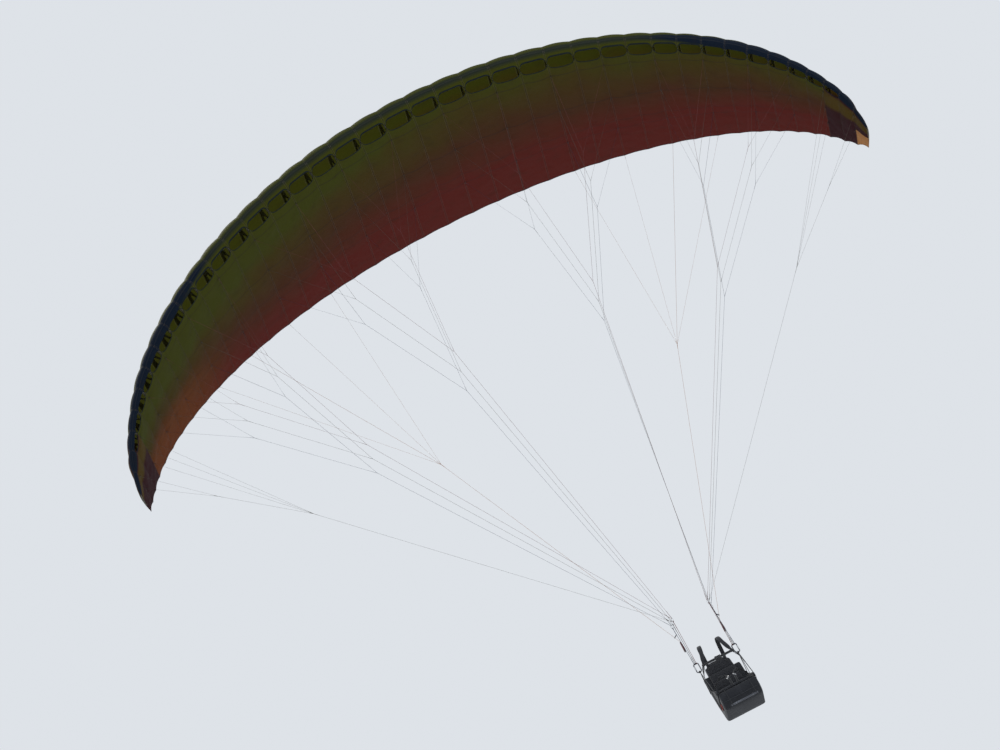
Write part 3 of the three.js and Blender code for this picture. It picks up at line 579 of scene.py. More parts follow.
def camera():
    flat = math.cos(ELEVATION)
    forward = Vector((-math.sin(AZIMUTH) * flat, math.cos(AZIMUTH) * flat, math.sin(ELEVATION)))
    eye = Vector((0, 0.94, 0)) - forward * EYE_DISTANCE
    level = forward.cross(Vector(Z)).normalized()
    raised = level.cross(forward)
    right = math.cos(ROLL) * level + math.sin(ROLL) * raised
    up = math.cos(ROLL) * raised - math.sin(ROLL) * level
    rim = skin(np.linspace(-RIBS, RIBS, 81)[:, None], np.array([0.0, 0.6, 1.0, -1.0, -0.6]))
    outline = [Vector(p) for p in rim.reshape(-1, 3)]
    for node in ("back_protector", "seat_cushion", "speed_bar", "rear_pocket"):
        outline += list(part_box(node))
    seen = np.array([[(p - eye).dot(way) / (p - eye).dot(forward) for way in (right, up)] for p in outline])
    low, high = seen.min(0).tolist(), seen.max(0).tolist()
    aside, above = ((a + b) / 2 for a, b in zip(low, high))
    aim = (forward + aside * right + above * up).normalized()
    turn = forward.rotation_difference(aim).to_matrix()
    data = bpy.data.cameras.new("camera")
    data.sensor_width = SENSOR
    data.lens = SENSOR * FILL / max(high[0] - low[0], (high[1] - low[1]) / 0.75)
    data.clip_start, data.clip_end = 0.5, 2000
    made = add_object("camera", data)
    axes = Matrix((turn @ right, turn @ up, -aim)).transposed()
    made.matrix_world = Matrix.Translation(eye) @ axes.to_4x4()
    scene.camera = made
    return eye


# Canopy
CELL_STEPS = [0, 0.035, 0.09, 0.17, 0.28, 0.4, 0.5, 0.6, 0.72, 0.83, 0.91, 0.965]
SPLIT = 0.62  # chord share where the rear strip is sewn on
MOUTH, MOUTH_HALF = 0.04, 0.025  # the nose intake's middle and half height, as chord shares
RIB_HOLES = ((0.12, 0.05), (0.24, 0.055), (0.37, 0.055), (0.5, 0.05))  # chord share and size
# The rear strip is made in pieces that part at these ribs, behind the hang points and at a flap's ends.
FLAP_INNER, TAPER_INNER, TAPER_OUTER, FLAP_OUTER = 4, 7, 9, 12


def span_columns(first, last):
    return np.array([cell + f for cell in range(first, last) for f in CELL_STEPS] + [last], float)


U_ALL = span_columns(-RIBS, RIBS)
CELL_WIDTHS = station(U_ALL)["cell"]
FAR = np.concatenate([[0], np.cumsum(np.diff(U_ALL) * (CELL_WIDTHS[1:] + CELL_WIDTHS[:-1]) / 2)])


def mouth(u):
    """Half the intake's height at each column: a rounded slot in open cells, shut at ribs and tips."""
    frac = u - np.floor(u)
    return MOUTH_HALF * (np.abs(u) < CLOSED_FROM) * (1 - np.abs(2 * frac - 1) ** 9)


def skin_sheet(name, u, t, lip_row=None):
    """A sheet over columns u and a (rows, columns) field t. lip_row is the row along the intake's edge."""
    uu = np.broadcast_to(u, t.shape)
    chord = station(u)["chord"]
    x = np.minimum(t * t, 1)
    signed = x * np.sign(t)
    lip = np.full(t.shape, 1.0)
    if lip_row is not None:
        lip = np.abs(signed - signed[lip_row][None]) * chord + (np.abs(uu) > CLOSED_FROM)
    # The upper skin keeps its own pattern where it turns under the nose.
    under = (t < 0) & (lip_row != -1)
    across = np.broadcast_to(np.interp(u, U_ALL, FAR), t.shape)
    cloth = np.stack([across, np.where(under, x + 0.03, signed) * chord, np.where(under, 40.0, 0.0)], -1)
    attributes = {"span": uu.ravel(), "chord": x.ravel(), "lip": lip.ravel(), "cloth": cloth.reshape(-1, 3)}
    return add_mesh(name, skin(uu, t).reshape(-1, 3), grid_faces(*t.shape), CLOTH, attributes)


def canopy():
    half_open = mouth(U_ALL)
    rear = math.sqrt(SPLIT)
    down = np.linspace(0, 1, 76)[:, None]
    upper = skin_sheet("canopy_upper", U_ALL, rear * (1 - down) - np.sqrt(MOUTH - half_open) * down, -1)
    down = np.linspace(0, 1, 56)[:, None]
    lower = skin_sheet("canopy_lower", U_ALL, -(np.sqrt(MOUTH + half_open) * (1 - down) + rear * down), 0)
    for piece in (upper, lower):
        dress(piece, "wing")
    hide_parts(*[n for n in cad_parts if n.startswith("canopy_")])


def rear_sheet(name, side, first, last):
    u = span_columns(*sorted((side or 1) * v for v in (first, last)))
    x = np.sqrt(np.linspace(SPLIT, 1, 30))
    piece = skin_sheet(name + WORDS[side], u, np.outer(np.concatenate([x, -x[::-1]]), np.ones(len(u))))
    return piece


def taper(name, side, full, still):
    """A piece of the rear strip from rib full to rib still."""
    s = station(side * full)
    centre = s["x"] * X + s["z"] * Z
    corner = skin(side * still, -1.0) - centre
    piece = rear_sheet(name, side, full, still)
    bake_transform(piece)


def rear_strips():
    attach(rear_sheet("canopy_rear_centre", 0, -FLAP_INNER, FLAP_INNER), "wing")
    for side in (1, -1):
        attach(rear_sheet("canopy_rear_tip", side, FLAP_OUTER, RIBS), "wing")
        middle = rear_sheet("canopy_rear_middle", side, TAPER_INNER, TAPER_OUTER)
        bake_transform(middle)
        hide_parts("trailing_flap" + WORDS[side])
        taper("canopy_rear_inner", side, TAPER_INNER, FLAP_INNER)
        taper("canopy_rear_outer", side, TAPER_OUTER, FLAP_OUTER)


def ribs():
    """The cell walls, just inside the skins, with round holes that let the air across."""
    build = Builder()
    rear = math.sqrt(SPLIT)
    rim = np.concatenate([np.linspace(rear, 0, 26), np.linspace(-0.03, -rear, 26)])
    for rib in range(-RIBS, RIBS + 1):
        s = station(rib)
        normal = np.array([s["nx"], 0, s["nz"]])
        ring = skin(rib, rim)
        loops = [ring - 0.003 * np.sign((ring - ring.mean(0)) @ normal)[:, None] * normal + 0.002 * Y]
        for x, wide in () if abs(rib) == RIBS else RIB_HOLES:
            high, low = skin(rib, math.sqrt(x)), skin(rib, -math.sqrt(x))
            tall = 0.27 * np.linalg.norm(high - low)
            loops.append(arc((high + low) / 2, 0.8 * wide * s["chord"] * Y, tall * normal, turns(20)))
        flat = [[Vector(((q - ring[0]) @ Y, (q - ring[0]) @ normal, 0)) for q in loop] for loop in loops]
        build.add(np.vstack(loops), tessellate_polygon(flat))
    piece = build.done("cell_ribs", RIB, "wing", soft=False)


# Rigging. A tree of lines has four ribs, the one of them that the solids hold, and its place on the link.
TREES = (((1, 3, 5, 7), 2, -0.004), ((9, 11, 13, 15), 1, 0.004))
TIP_ENDS = ((17, 0.12), (17, 0.4), (17, 0.7), (19, 0.15), (19, 0.55))
RISERS = {"a": (-0.012, -0.07), "b": (0.0, 0.0), "c": (0.012, 0.09)}
RISER_TOP, GUIDE_HEIGHT, LINK_HALF = 0.6, 0.52, 0.0175
MAIN_SHARE, MIDDLE_SHARE = 0.6, 0.6
LINE_RADIUS, MAIN_RADIUS, END_RADIUS = 0.0012, 0.0010, 0.0008
LINK_MIDDLE = RISER_TOP - LINE_HEIGHT + 0.0035 + LINK_HALF
LINK_TOP = LINK_MIDDLE + 0.02 + LINE_RADIUS / 2
CARABINER_TALL, CARABINER_WIDE, BAR = 0.112, 0.062, 0.011
SPAN = CARABINER_TALL - BAR
BRAKE_RIBS, BRAKE_SOLID = (5, 7, 9, 11), 9
GUIDE = np.array([0.258, 0.135, GUIDE_HEIGHT - LINE_HEIGHT])
BRAKE_FORK = lerp(GUIDE, sum(anchor(rib, 1.0) for rib in BRAKE_RIBS) / 4, 0.55)
PULL = unit(GUIDE - BRAKE_FORK)
TOGGLE_TOP = GUIDE + PULL * 0.08 - LINE_RADIUS * Z


def straight(build, a, b, radius):
    """A taut line, short of b by the cloth's own thickness, with a sewn eye's thicker sleeve at each end."""
    long = np.linalg.norm(b - a)
    d = (b - a) / long
    b = b - d * 0.0006
    hint = build.side * np.cross(d, (0, 1, 0.01))
    sweep(build, [a, b], circle(radius, 7), hint)
    span, sleeve = min(0.07, 0.2 * long), circle(radius * 1.7, 7)
    for start, way in ((a, d), (b, -d)):
        beam(build, start, way, (0, 0.008, span * 0.85, span), sleeve, hint, (0.7, 1, 1, 0.62))


def loop_tab(build, rib, x):
    """A sewn loop of narrow tape standing on the cloth at a line's end."""
    s = station(rib)
    down = -np.array([s["nx"], 0, s["nz"]])
    foot = anchor(rib, x) + 0.0089 * down
    path = arc(foot, 0.006 * np.cross(Y, down), 0.0099 * down, np.linspace(-0.15 * np.pi, 1.15 * np.pi, 9))
    sweep(build, path, web_profile(0.006, 0.0012), Y)


def line_tree(build, row, members, stay, offset):
    """The branches beside one main stay, and the eye that holds it on its link."""
    rx, ry = RISERS[row]
    start = np.array([HANG_X + rx + offset, ry, LINK_TOP])
    tops = [anchor(rib, ROWS[row]) for rib in members]
    fork = lerp(start, sum(tops) / 4, MAIN_SHARE)
    splits = [lerp(fork, (tops[k] + tops[k + 1]) / 2, MIDDLE_SHARE) for k in (0, 2)]
    straight(build, fork, splits[1 - stay // 2], MAIN_RADIUS)
    for k, top in enumerate(tops):
        if k != stay:
            straight(build, splits[k // 2], top, END_RADIUS)
    bar = np.array([start[0], ry, LINK_MIDDLE + LINK_HALF])
    sweep(build, arc(bar, -0.0041 * Z, 0.0041 * Y, around(0.12, 17)), circle(0.0011, 7), build.side * X)
    way = unit(fork - start)
    beam(build, start, way, (-0.001, 0.004, 0.085, 0.1), circle(0.0021, 8), X, (0.9, 1, 1, 0.6))


def tip_lines(build):
    rx, ry = RISERS["b"]
    start = np.array([HANG_X + rx, ry, LINK_TOP])
    tops = [anchor(rib, x) for rib, x in TIP_ENDS]
    fork = lerp(start, sum(tops) / 5, 0.66)
    upper = lerp(fork, (tops[3] + tops[4]) / 2, 0.55)
    straight(build, start, fork, MAIN_RADIUS)
    straight(build, fork, upper, 0.0009)
    for k, top in enumerate(tops):
        straight(build, fork if k < 3 else upper, top, END_RADIUS)


def brake_fan(side):
    build = Builder(side)
    for rib in BRAKE_RIBS:
        if rib != BRAKE_SOLID:
            straight(build, BRAKE_FORK, anchor(rib, 1.0), END_RADIUS)
    beam(build, BRAKE_FORK, PULL, (-0.01, 0.0, 0.05, 0.07), circle(0.0024, 8), X, (0.5, 1, 1, 0.6))
    build.done("brake_fan", BRAKE_LINE, "brake" + WORDS[side])


def rigging():
    for side in (1, -1):
        for row in RISERS:
            build = Builder(side)
            for tree in TREES:
                line_tree(build, row, *tree)
            if row == "b":
                tip_lines(build)
            build.done("line_branches_" + row, LINE[row], "wing")
        brake_fan(side)
    tabs = Builder()
    ends = [(rib, x) for x in ROWS.values() for tree in TREES for rib in tree[0]]
    for rib, x in (*ends, *TIP_ENDS):
        loop_tab(tabs, rib, x)
    tabs.both_sides()
    tabs.done("line_tabs", WEB, "wing")
    stays = {"line_a": LINE["a"], "line_b": LINE["b"], "line_c": LINE["c"], "brake_line": BRAKE_LINE}
    for name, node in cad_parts.items():
        for start, material in stays.items():
            if name.startswith(start):
                node.material_slots[0].material = material


SLEEVES = ((-0.019, 0.017, 0.0068, 20), (0.0175, 0.0235, 0.0061, 16), (-0.0245, -0.0195, 0.0061, 16))


def hang_link(side):
    """An oblong of bar, with a gate on its outer side: knurled screw sleeve, collars and hinge pins."""
    centre = np.array([HANG_X, 0, SPAN / 2 - LINE_HEIGHT])
    half = (CARABINER_WIDE - BAR) / 2
    build = Builder(side)
    loop = [centre + (x, 0, z) for x, z in corner_arcs(half, SPAN / 2, 0.0145, 8)]
    closed_tube(build, loop, Y, BAR / 2, 16, 0.92)
    build.done("hang_link", ALLOY, "wing", "carabiner")
    build = Builder(side)
    gate = centre + half * X
    for low, high, radius, sides in SLEEVES:
        rod(build, gate, Z, low, high, circle(radius, sides), Y, 0.0012, 0.88)
    for low in -0.015 + 0.003 * np.arange(10):
        rod(build, gate, Z, low, low + 0.0018, circle(0.0072, 20), Y, 0.0004, 0.94)
    for height in (0.0205, -0.022):
        rod(build, gate + height * Z, Y, -0.0068, 0.0068, circle(0.0018, 12), X, 0.0004, 0.7)
    build.done("hang_link_sleeve", STEEL, "wing")


def line_link(side, row):
    """A thin ring of steel bar with a hexagonal nut on one side."""
    rx, ry = RISERS[row]
    middle = np.array([HANG_X + rx, ry, LINK_MIDDLE])
    build = Builder(side)
    loop = [middle + (x, 0, z) for x, z in corner_arcs(0.0105, LINK_HALF, 0.0095, 8)]
    closed_tube(build, loop, Y, 0.0025, 12)
    rod(build, middle + 0.0105 * X, Z, -0.006, 0.006, circle(0.0042, 6), Y, 0.0006, 0.86)
    build.done("line_link_" + row, STEEL, "wing", "maillon_" + row, soft=False)


def riser(side, row):
    """A riser's web with a folded loop and a sewn-back tail at each end."""
    rx, ry = RISERS[row]
    low = np.array([HANG_X + rx, 0, SPAN + 0.0007 - LINE_HEIGHT])
    high = np.array([HANG_X + rx, ry, RISER_TOP - LINE_HEIGHT])
    way, long = unit(high - low), np.linalg.norm(high - low)
    cross = np.cross(way, X)
    ends = np.array([0.0095, 0.012, 0.018, 0.03])
    spots = np.concatenate([ends, np.linspace(0.05, long - 0.05, 24), long - ends[::-1]])
    size = [0.55, 0.72, 0.92, 1]
    build = Builder(side)
    beam(build, low, way, spots, web_profile(0.0196, 0.0026), cross, size + [1] * 24 + size[::-1])
    for end, inward in ((low, way), (high, -way)):
        loop = arc(end, 0.0094 * inward, 0.0094 * cross, around(0.18, 23))
        sweep(build, loop, web_profile(0.0085, 0.0022), X)
        tail = (0.016, 0.03, 0.055, 0.082, 0.084)
        beam(build, end + 0.0021 * X, inward, tail, web_profile(0.0188, 0.0016), cross, (0.7, 1, 1, 1, 0.9))
    build.done("riser_web_" + row, RISER_WEB[row], "wing", "riser_" + row)


def brake_guide(side):
    """A smooth ring on a short tape sewn to the rear riser."""
    across = unit(np.cross(PULL, Y))
    build = Builder(side)
    loop = arc(GUIDE, 0.0056 * across, 0.0056 * np.cross(PULL, across), turns(28))
    closed_tube(build, loop, PULL, 0.0036, 12)
    build.done("brake_ring", STEEL, "wing", "brake_guide")
    share = (GUIDE_HEIGHT - SPAN) / (RISER_TOP - SPAN)
    web_at = np.array([HANG_X + RISERS["c"][0], RISERS["c"][1] * share + 0.006, GUIDE[2]])
    toward = unit(web_at - GUIDE)
    bend = np.linspace(-0.62 * np.pi, 0.62 * np.pi, 13)
    wrap = arc(GUIDE + toward * 0.0056, -0.0049 * toward, 0.0049 * PULL, bend)
    path = curve_through([web_at - 0.0015 * PULL, *wrap, web_at + 0.0015 * PULL], 30)
    build = Builder(side)
    sweep(build, path, web_profile(0.009, 0.0012), np.cross(toward, PULL))
    build.done("brake_ring_tape", WEB, "wing")


def toggle(side):
    """A loop of webbing with a padded grip, hung on the brake line by a small swivel."""
    body = "brake" + WORDS[side]
    half = [(0.010, -0.018), (0.024, -0.052), (0.041, -0.094)]
    half += [(0.0425, -0.108), (0.033, -0.1145), (0.012, -0.1145)]
    shape = [(0, -0.004), *half, *[(-y, z) for y, z in half[::-1]]]
    path = curve_through([TOGGLE_TOP + (0, y, z) for y, z in shape], 79, closed=True)
    build = Builder(side)
    sweep(build, path[3:-3], web_profile(0.0156, 0.003), X)
    build.done("toggle_strap", RISER_WEB["a"], body, "brake_toggle")
    build = Builder(side)
    ripple = 1 + 0.06 * np.cos(1.05 * np.arange(15))
    section = [(1.15 * a, b) for a, b in circle(0.0066, 16)]
    middle = TOGGLE_TOP - 0.1135 * Z
    beam(build, middle, Y, np.linspace(-0.034, 0.034, 19), section, X, [0.72, 0.95, *ripple, 0.95, 0.72])
    build.done("toggle_grip", PLASTIC, body)
    build = Builder(side)
    for low, high, radius in ((-0.012, -0.004, 0.0042), (-0.019, -0.012, 0.0030), (-0.004, 0.003, 0.0026)):
        rod(build, TOGGLE_TOP, Z, low, high, circle(radius, 14), X, 0.001, 0.8)
    build.done("toggle_swivel", STEEL, body)


def hardware():
    for side in (1, -1):
        hang_link(side)
        for row in RISERS:
            line_link(side, row)
            riser(side, row)
        brake_guide(side)
        toggle(side)


# Harness, in its own frame: metres, from the height of the hang points
HANG_Y, LEAN = 0.078, math.radians(17)
BACK_Y, BACK_Z, BACK_THICK = 0.122, -0.435, 0.04
SEAT_FRONT, SEAT_REAR, SEAT_TOP, SEAT_LOW, SEAT_MIDDLE = -0.28, 0.12, -0.4075, -0.4525, -0.43
PLAY = 0.0003
BEHIND = BACK_THICK + PLAY
HIP_INNER = 0.195 + PLAY
CLOTH_FRAMES, PRESSURE, STIFFNESS = 20, 4.0, 2.0


def at(x, y, z):
    return np.array([x, y - HANG_Y, z - LINE_HEIGHT])


def back_yz(along, behind):
    """A place up the leaning back and behind its front, as (y, z)."""
    c, s = math.cos(LEAN), math.sin(LEAN)
    return BACK_Y + along * s + behind * c, BACK_Z + along * c - behind * s


def on_back(x, along, behind):
    return at(x, *back_yz(along, behind))


PROTECTOR = [
    (SEAT_FRONT - 0.005, SEAT_LOW - PLAY), (BACK_Y + 0.01, SEAT_LOW - PLAY), back_yz(0.005, BEHIND),
    back_yz(0.47, BEHIND), back_yz(0.48, BEHIND + 0.035), back_yz(0.3, BEHIND + 0.08),
    back_yz(0.08, BEHIND + 0.095), (0.175, -0.585), (0.1, -0.62), (-0.21, -0.62), (SEAT_FRONT, -0.56),
]
POCKET = [back_yz(along, BEHIND + out) for along, out in (
    (0.473, 0), (0.59, 0), (0.59, 0.04), (0.49, 0.09), (0.31, 0.13), (0.303, 0.083), (0.484, 0.038))]
HIP = [
    (SEAT_FRONT + 0.01, SEAT_LOW), (BACK_Y + 0.005, SEAT_LOW), back_yz(0.01, 0.036), back_yz(0.26, 0.036),
    back_yz(0.25, -0.01), (-0.02, -0.3), (SEAT_FRONT + 0.01, SEAT_TOP + 0.005),
]


def outline_at(x, outline, amount):
    """A (y, z) outline at x, drawn in towards its middle by about amount."""
    p = np.array(outline)
    d = p - p.mean(0)
    return [at(x, *q) for q in p.mean(0) + d * (1 - amount / np.linalg.norm(d, axis=1))[:, None]]


def coordinates(piece, field="co"):
    flat = np.zeros(3 * len(piece.data.vertices), np.float32)
    piece.data.vertices.foreach_get(field, flat)
    return flat.reshape(-1, 3).astype(float)


def normals(piece):
    return coordinates(piece, "normal")


def place(piece, co):
    piece.data.vertices.foreach_set("co", co.astype(np.float32).ravel())
    piece.data.update()


def bake(piece):
    """Applies the piece's modifiers to its mesh."""
    graph = bpy.context.evaluated_depsgraph_get()
    data = bpy.data.meshes.new_from_object(piece.evaluated_get(graph))
    piece.modifiers.clear()
    piece.data = data


def relax(piece, share=0.4):
    """One pass that moves each point part of the way to the mean of its neighbours."""
    co = coordinates(piece)
    edges = np.zeros(2 * len(piece.data.edges), np.int32)
    piece.data.edges.foreach_get("vertices", edges)
    a, b = edges.reshape(-1, 2).T
    total, count = np.zeros_like(co), np.zeros(len(co))
    for i, j in ((a, b), (b, a)):
        np.add.at(total, i, co[j])
        np.add.at(count, i, 1)
    place(piece, co + share * (total / count[:, None] - co))


def near_segments(co, paths):
    """Distance of each point to the nearest of several polylines."""
    best = np.full(len(co), 9.0)
    for path in paths:
        for a, b in zip(path[:-1], path[1:]):
            d = b - a
            t = np.clip((co - a) @ d / (d @ d), 0, 1)
            best = np.minimum(best, np.linalg.norm(co - (a + t[:, None] * d), axis=1))
    return best


def soft_limit(co, low, high, margin=0.004):
    """Keeps points inside a box, easing over the last margin, so that nothing is cut off flat."""
    over = np.maximum(0, co - (high - margin))
    co = np.where(over > 0, high - margin * np.exp(-over / margin), co)
    under = np.maximum(0, (low + margin) - co)
    return np.where(under > 0, low + margin * np.exp(-under / margin), co)


def foam_core(node, inset):
    """The solid drawn in by inset, with its box's middle and half size."""
    shell = bmesh.new()
    shell.from_mesh(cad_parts[node].data)
    bmesh.ops.remove_doubles(shell, verts=shell.verts, dist=1e-5)
    co = np.array([v.co for v in shell.verts])
    centre, half = (co.min(0) + co.max(0)) / 2, (co.max(0) - co.min(0)) / 2
    for v in shell.verts:
        v.co = Vector(centre + (np.array(v.co) - centre) * (1 - inset / half))
    return shell, centre, half


def blow_up(piece, held, cap):
    """The piece's points after a cloth simulation under pressure, held at seams, moved by at most cap."""
    start = coordinates(piece)
    group = piece.vertex_groups.new(name="seams")
    for k in np.nonzero(held > 0)[0]:
        group.add([int(k)], float(held[k]), "REPLACE")
    cloth = piece.modifiers.new("cloth", "CLOTH")
    cloth.settings.quality = 4
    cloth.settings.use_pressure = True
    cloth.settings.uniform_pressure_force = PRESSURE
    cloth.settings.effector_weights.gravity = 0
    cloth.settings.vertex_group_mass = "seams"
    cloth.settings.bending_stiffness = STIFFNESS
    cloth.point_cache.frame_start, cloth.point_cache.frame_end = 1, CLOTH_FRAMES
    for number in range(1, CLOTH_FRAMES + 1):
        scene.frame_set(number)
    shift = coordinates(piece.evaluated_get(bpy.context.evaluated_depsgraph_get())) - start
    piece.modifiers.clear()
    piece.vertex_groups.clear()
    scene.frame_set(1)
    far = np.linalg.norm(shift, axis=1)
    return start + shift * np.minimum(1, cap / np.maximum(far, 1e-9))[:, None]


def puffed(name, node, material, lanes, rings, inset, voxel, cap, limits,
           crown=0.004, groove=0.005):
    """The solid's form as sewn fabric over foam, blown up by at most cap between its seams: open lanes and
    closed rings. It stays in the solid's box widened by limits. crown and groove draw in the seams."""
    seams = lanes + [ring + ring[:1] for ring in rings]
    shell, centre, half = foam_core(node, inset)
    core = BVHTree.FromBMesh(shell)
    data = bpy.data.meshes.new(name)
    shell.to_mesh(data)
    shell.free()
    piece = add_object(name, data)
    remesh = piece.modifiers.new("remesh", "REMESH")
    remesh.mode, remesh.voxel_size = "VOXEL", voxel
    bake(piece)
    # Voxels leave steps on a leaning face, so the points go back to the faces before the corners are eased.
    for _ in range(2):
        place(piece, np.array([core.find_nearest(Vector(p))[0] for p in coordinates(piece)]))
        relax(piece, 0.5)
    start = coordinates(piece)
    far = near_segments(start, seams)
    start = blow_up(piece, np.clip(1.3 - far / (1.2 * voxel), 0, 1), cap)
    place(piece, soft_limit(start, centre - half + limits[0], centre + half + limits[1]))
    for _ in range(2):
        relax(piece)
    subdivide = piece.modifiers.new("smooth", "SUBSURF")
    subdivide.levels = subdivide.render_levels = 1
    bake(piece)
    co = coordinates(piece)
    far = near_segments(co, seams)
    depth = groove * np.exp(-((far / 0.007) ** 2)) + crown * np.exp(-far / 0.03)
    place(piece, co - normals(piece) * depth[:, None])
    piece.data.polygons.foreach_set("use_smooth", [True] * len(piece.data.polygons))
    piece.data.materials.clear()
    piece.data.materials.append(material)
    piece.data.update()
    dress(piece, "harness", node)
    return piece


def on_surface(piece, points):
    """The nearest surface points and their normals."""
    found = [piece.closest_point_on_mesh(Vector(p)) for p in points]
    return np.array([f[1] for f in found]), np.array([f[2] for f in found])


def resample(s, far, rows):
    """The rows of a path at the lengths s along it, from their own lengths far."""
    return np.stack([np.interp(s, far, column) for column in rows.T], -1)


def piping(build, piece, path, radius=0.0022, closed=True):
    """A corded seam laid on the piece's surface along a path. An open one's ends are sunk in the cloth."""
    path = np.array([*path, path[0]] if closed else path)
    far = lengths(path)
    s = np.linspace(0, far[-1], max(12, int(far[-1] / 0.012)))
    on, out = on_surface(piece, resample(s, far, path))
    for _ in range(3):
        if closed:
            ring = on[:-1]
            ring = 0.5 * ring + 0.25 * (np.roll(ring, 1, 0) + np.roll(ring, -1, 0))
            on = np.vstack([ring, ring[:1]])
        else:
            on[1:-1] = 0.5 * on[1:-1] + 0.25 * (on[:-2] + on[2:])
    on = on + 0.4 * radius * out
    if not closed:
        on[[0, -1]] -= 1.5 * radius * out[[0, -1]]
    sweep(build, on, circle(radius, 8), out, caps=not closed)


def seat_pad(trim):
    """A boxed cushion with piped edges and two sewn channels across the top."""
    wide, front, rear = 0.186, SEAT_FRONT + 0.010, SEAT_REAR - 0.008
    corners = corner_arcs(wide, (rear - front) / 2, 0.05)
    rim = [at(x, y + (front + rear) / 2, SEAT_TOP - 0.004) for x, y in corners]
    foot = [p - 0.034 * Z for p in rim]
    channels = [[at(-wide, y, SEAT_TOP), at(wide, y, SEAT_TOP)] for y in (-0.15, -0.02)]
    seat = puffed("seat_pad", "seat_cushion", SPACER, channels, [rim, foot],
                  inset=(0.003, 0.005, 0.004), voxel=0.0065, cap=0.011, limits=((0, -0.003, 0.0004), 0))
    for loop in (rim, foot):
        piping(trim, seat, loop)


def back_pad(trim):
    """Five sewn channels between piped edges, on the leaning plate."""
    lanes = [[on_back(-0.17, v, 0), on_back(0.17, v, 0)] for v in (0.11, 0.22, 0.33, 0.44)]
    shape = [(x, 0.008) for x in np.linspace(-0.168, 0.168, 9)]
    shape += [(0.139, 0.54), (0.09, 0.592), (-0.09, 0.592), (-0.139, 0.54)]
    edges = [[on_back(*p, behind) for p in shape] for behind in (0.006, BACK_THICK - 0.006)]
    back = puffed("back_pad", "back_cushion", SPACER, lanes, edges,
                  inset=(0.005, 0.004, 0.005), voxel=0.007, cap=0.013, limits=(-0.004, (0.004, 0, 0.004)))
    for loop in edges:
        piping(trim, back, loop)


def protector(trim):
    """A thick block under the seat and behind the back, sewn from panels with piped seams."""
    sides = [outline_at(x, PROTECTOR, 0.006) for x in (-0.209, 0.209)]
    cross = [[at(-0.2, *PROTECTOR[k]), at(0.2, *PROTECTOR[k])] for k in (4, 6, 8, 9, 10)]
    block = puffed("protector_block", "back_protector", NYLON, cross, sides,
                   inset=(0.0015, 0.002, 0.002), voxel=0.0095, cap=0.010, limits=(-0.004, (0.004, 0.004, 0)),
                   crown=0.003, groove=0.003)
    for loop in sides:
        piping(trim, block, loop, 0.0028)
    for path in cross[1:]:
        piping(trim, block, path, 0.0024, closed=False)


def pocket(trim):
    sides = [outline_at(x, POCKET, 0.005) for x in (-0.143, 0.143)]
    bag = puffed("pocket_bag", "rear_pocket", NAVY_NYLON, [], sides,
                 inset=(0.006, 0.005, 0.006), voxel=0.007, cap=0.012, limits=(0, 0))
    for loop in sides:
        piping(trim, bag, loop)
    zip_fastener(bag)


def zip_fastener(bag):
    """A tape with teeth across the bag's rear face, with a slider and its pull."""
    share = np.linspace(0, 1, 40)
    route = [on_back(-0.105 + 0.21 * v, 0.475 - 0.03 * math.sin(math.pi * v), BEHIND + 0.14) for v in share]
    points, out = on_surface(bag, route)
    points = points + 0.0012 * out
    cross = unit(np.cross(np.gradient(points, axis=0), out))
    build = Builder()
    sweep(build, points, web_profile(0.026, 0.0016), cross)
    build.done("zip_tape", WEB, "harness")
    build = Builder()
    far = lengths(points)
    for k, s in enumerate(np.arange(0.004, far[-1] - 0.004, 0.0032)):
        p, n, c = (resample(s, far, rows) for rows in (points, out, cross))
        middle = p + n * 0.0013 + c * (0.0008 if k % 2 else -0.0008)
        rod(build, middle, c, -0.0024, 0.0024, circle(0.0010, 6), n, 0.0006, 0.7)
    build.done("zip_teeth", PLASTIC, "harness")
    build = Builder()
    p, n, c = points[6], out[6], cross[6]
    g = np.cross(c, n)
    body = [(1.5 * a, b) for a, b in circle(0.0028, 12)]
    beam(build, p + n * 0.0032, g, (-0.007, -0.006, 0, 0.006, 0.007), body, c, (0.6, 0.95, 1, 0.85, 0.5))
    hanging = ((0.005, 0.002, 0), (0.006, 0.012, 0.004), (0.004, 0.016, 0.026))
    pull = curve_through([p + n * up + g * v - drop * Z for up, v, drop in hanging], 10)
    sweep(build, pull, web_profile(0.007, 0.0016), c)
    build.done("zip_slider", STEEL, "harness")


def hip_panel(trim, side):
    x, word = side * (HIP_INNER + 0.0112), WORDS[side]
    ring = outline_at(x, HIP, 0.010)
    lanes = [[at(x, -0.19, -0.44), at(x, -0.02, -0.33)], [at(x, -0.06, -0.45), at(x, 0.10, -0.33)]]
    panel = puffed("hip_pad" + word, "hip_panel" + word, NYLON, lanes, [ring],
                   inset=(0.003, 0.001, 0.002), voxel=0.006, cap=0.008,
                   limits=(0.0005, (-0.0005, 0, 0)), crown=0.001, groove=0.002)
    piping(trim, panel, [p + side * 0.009 * X for p in ring], 0.002)


def seam_tapes():
    """Tapes sewn over the joint between each hip panel and the protector, outside and inside."""
    low = [(y, SEAT_LOW) for y in (HIP[0][0] + 0.003, -0.16, -0.06, 0.03, 0.09)]
    rise = [(0.138, SEAT_LOW + 0.012), back_yz(0.045, 0.036)]
    rise += [back_yz(v, 0.038) for v in (0.11, 0.175, 0.24)]
    size = np.interp(np.arange(64), [0, 2, 61, 63], [0.35, 1, 1, 0.8])
    build = Builder()
    for x in (0.2178, 0.2035):
        path = curve_through([at(x, *p) for p in low + rise], 64)
        way = frames_along(path, X)[1]
        sweep(build, path, web_profile(0.024, 0.0016), np.cross(way, X), size)
    build.both_sides()
    build.done("harness_seam_tape", WEB, "harness")


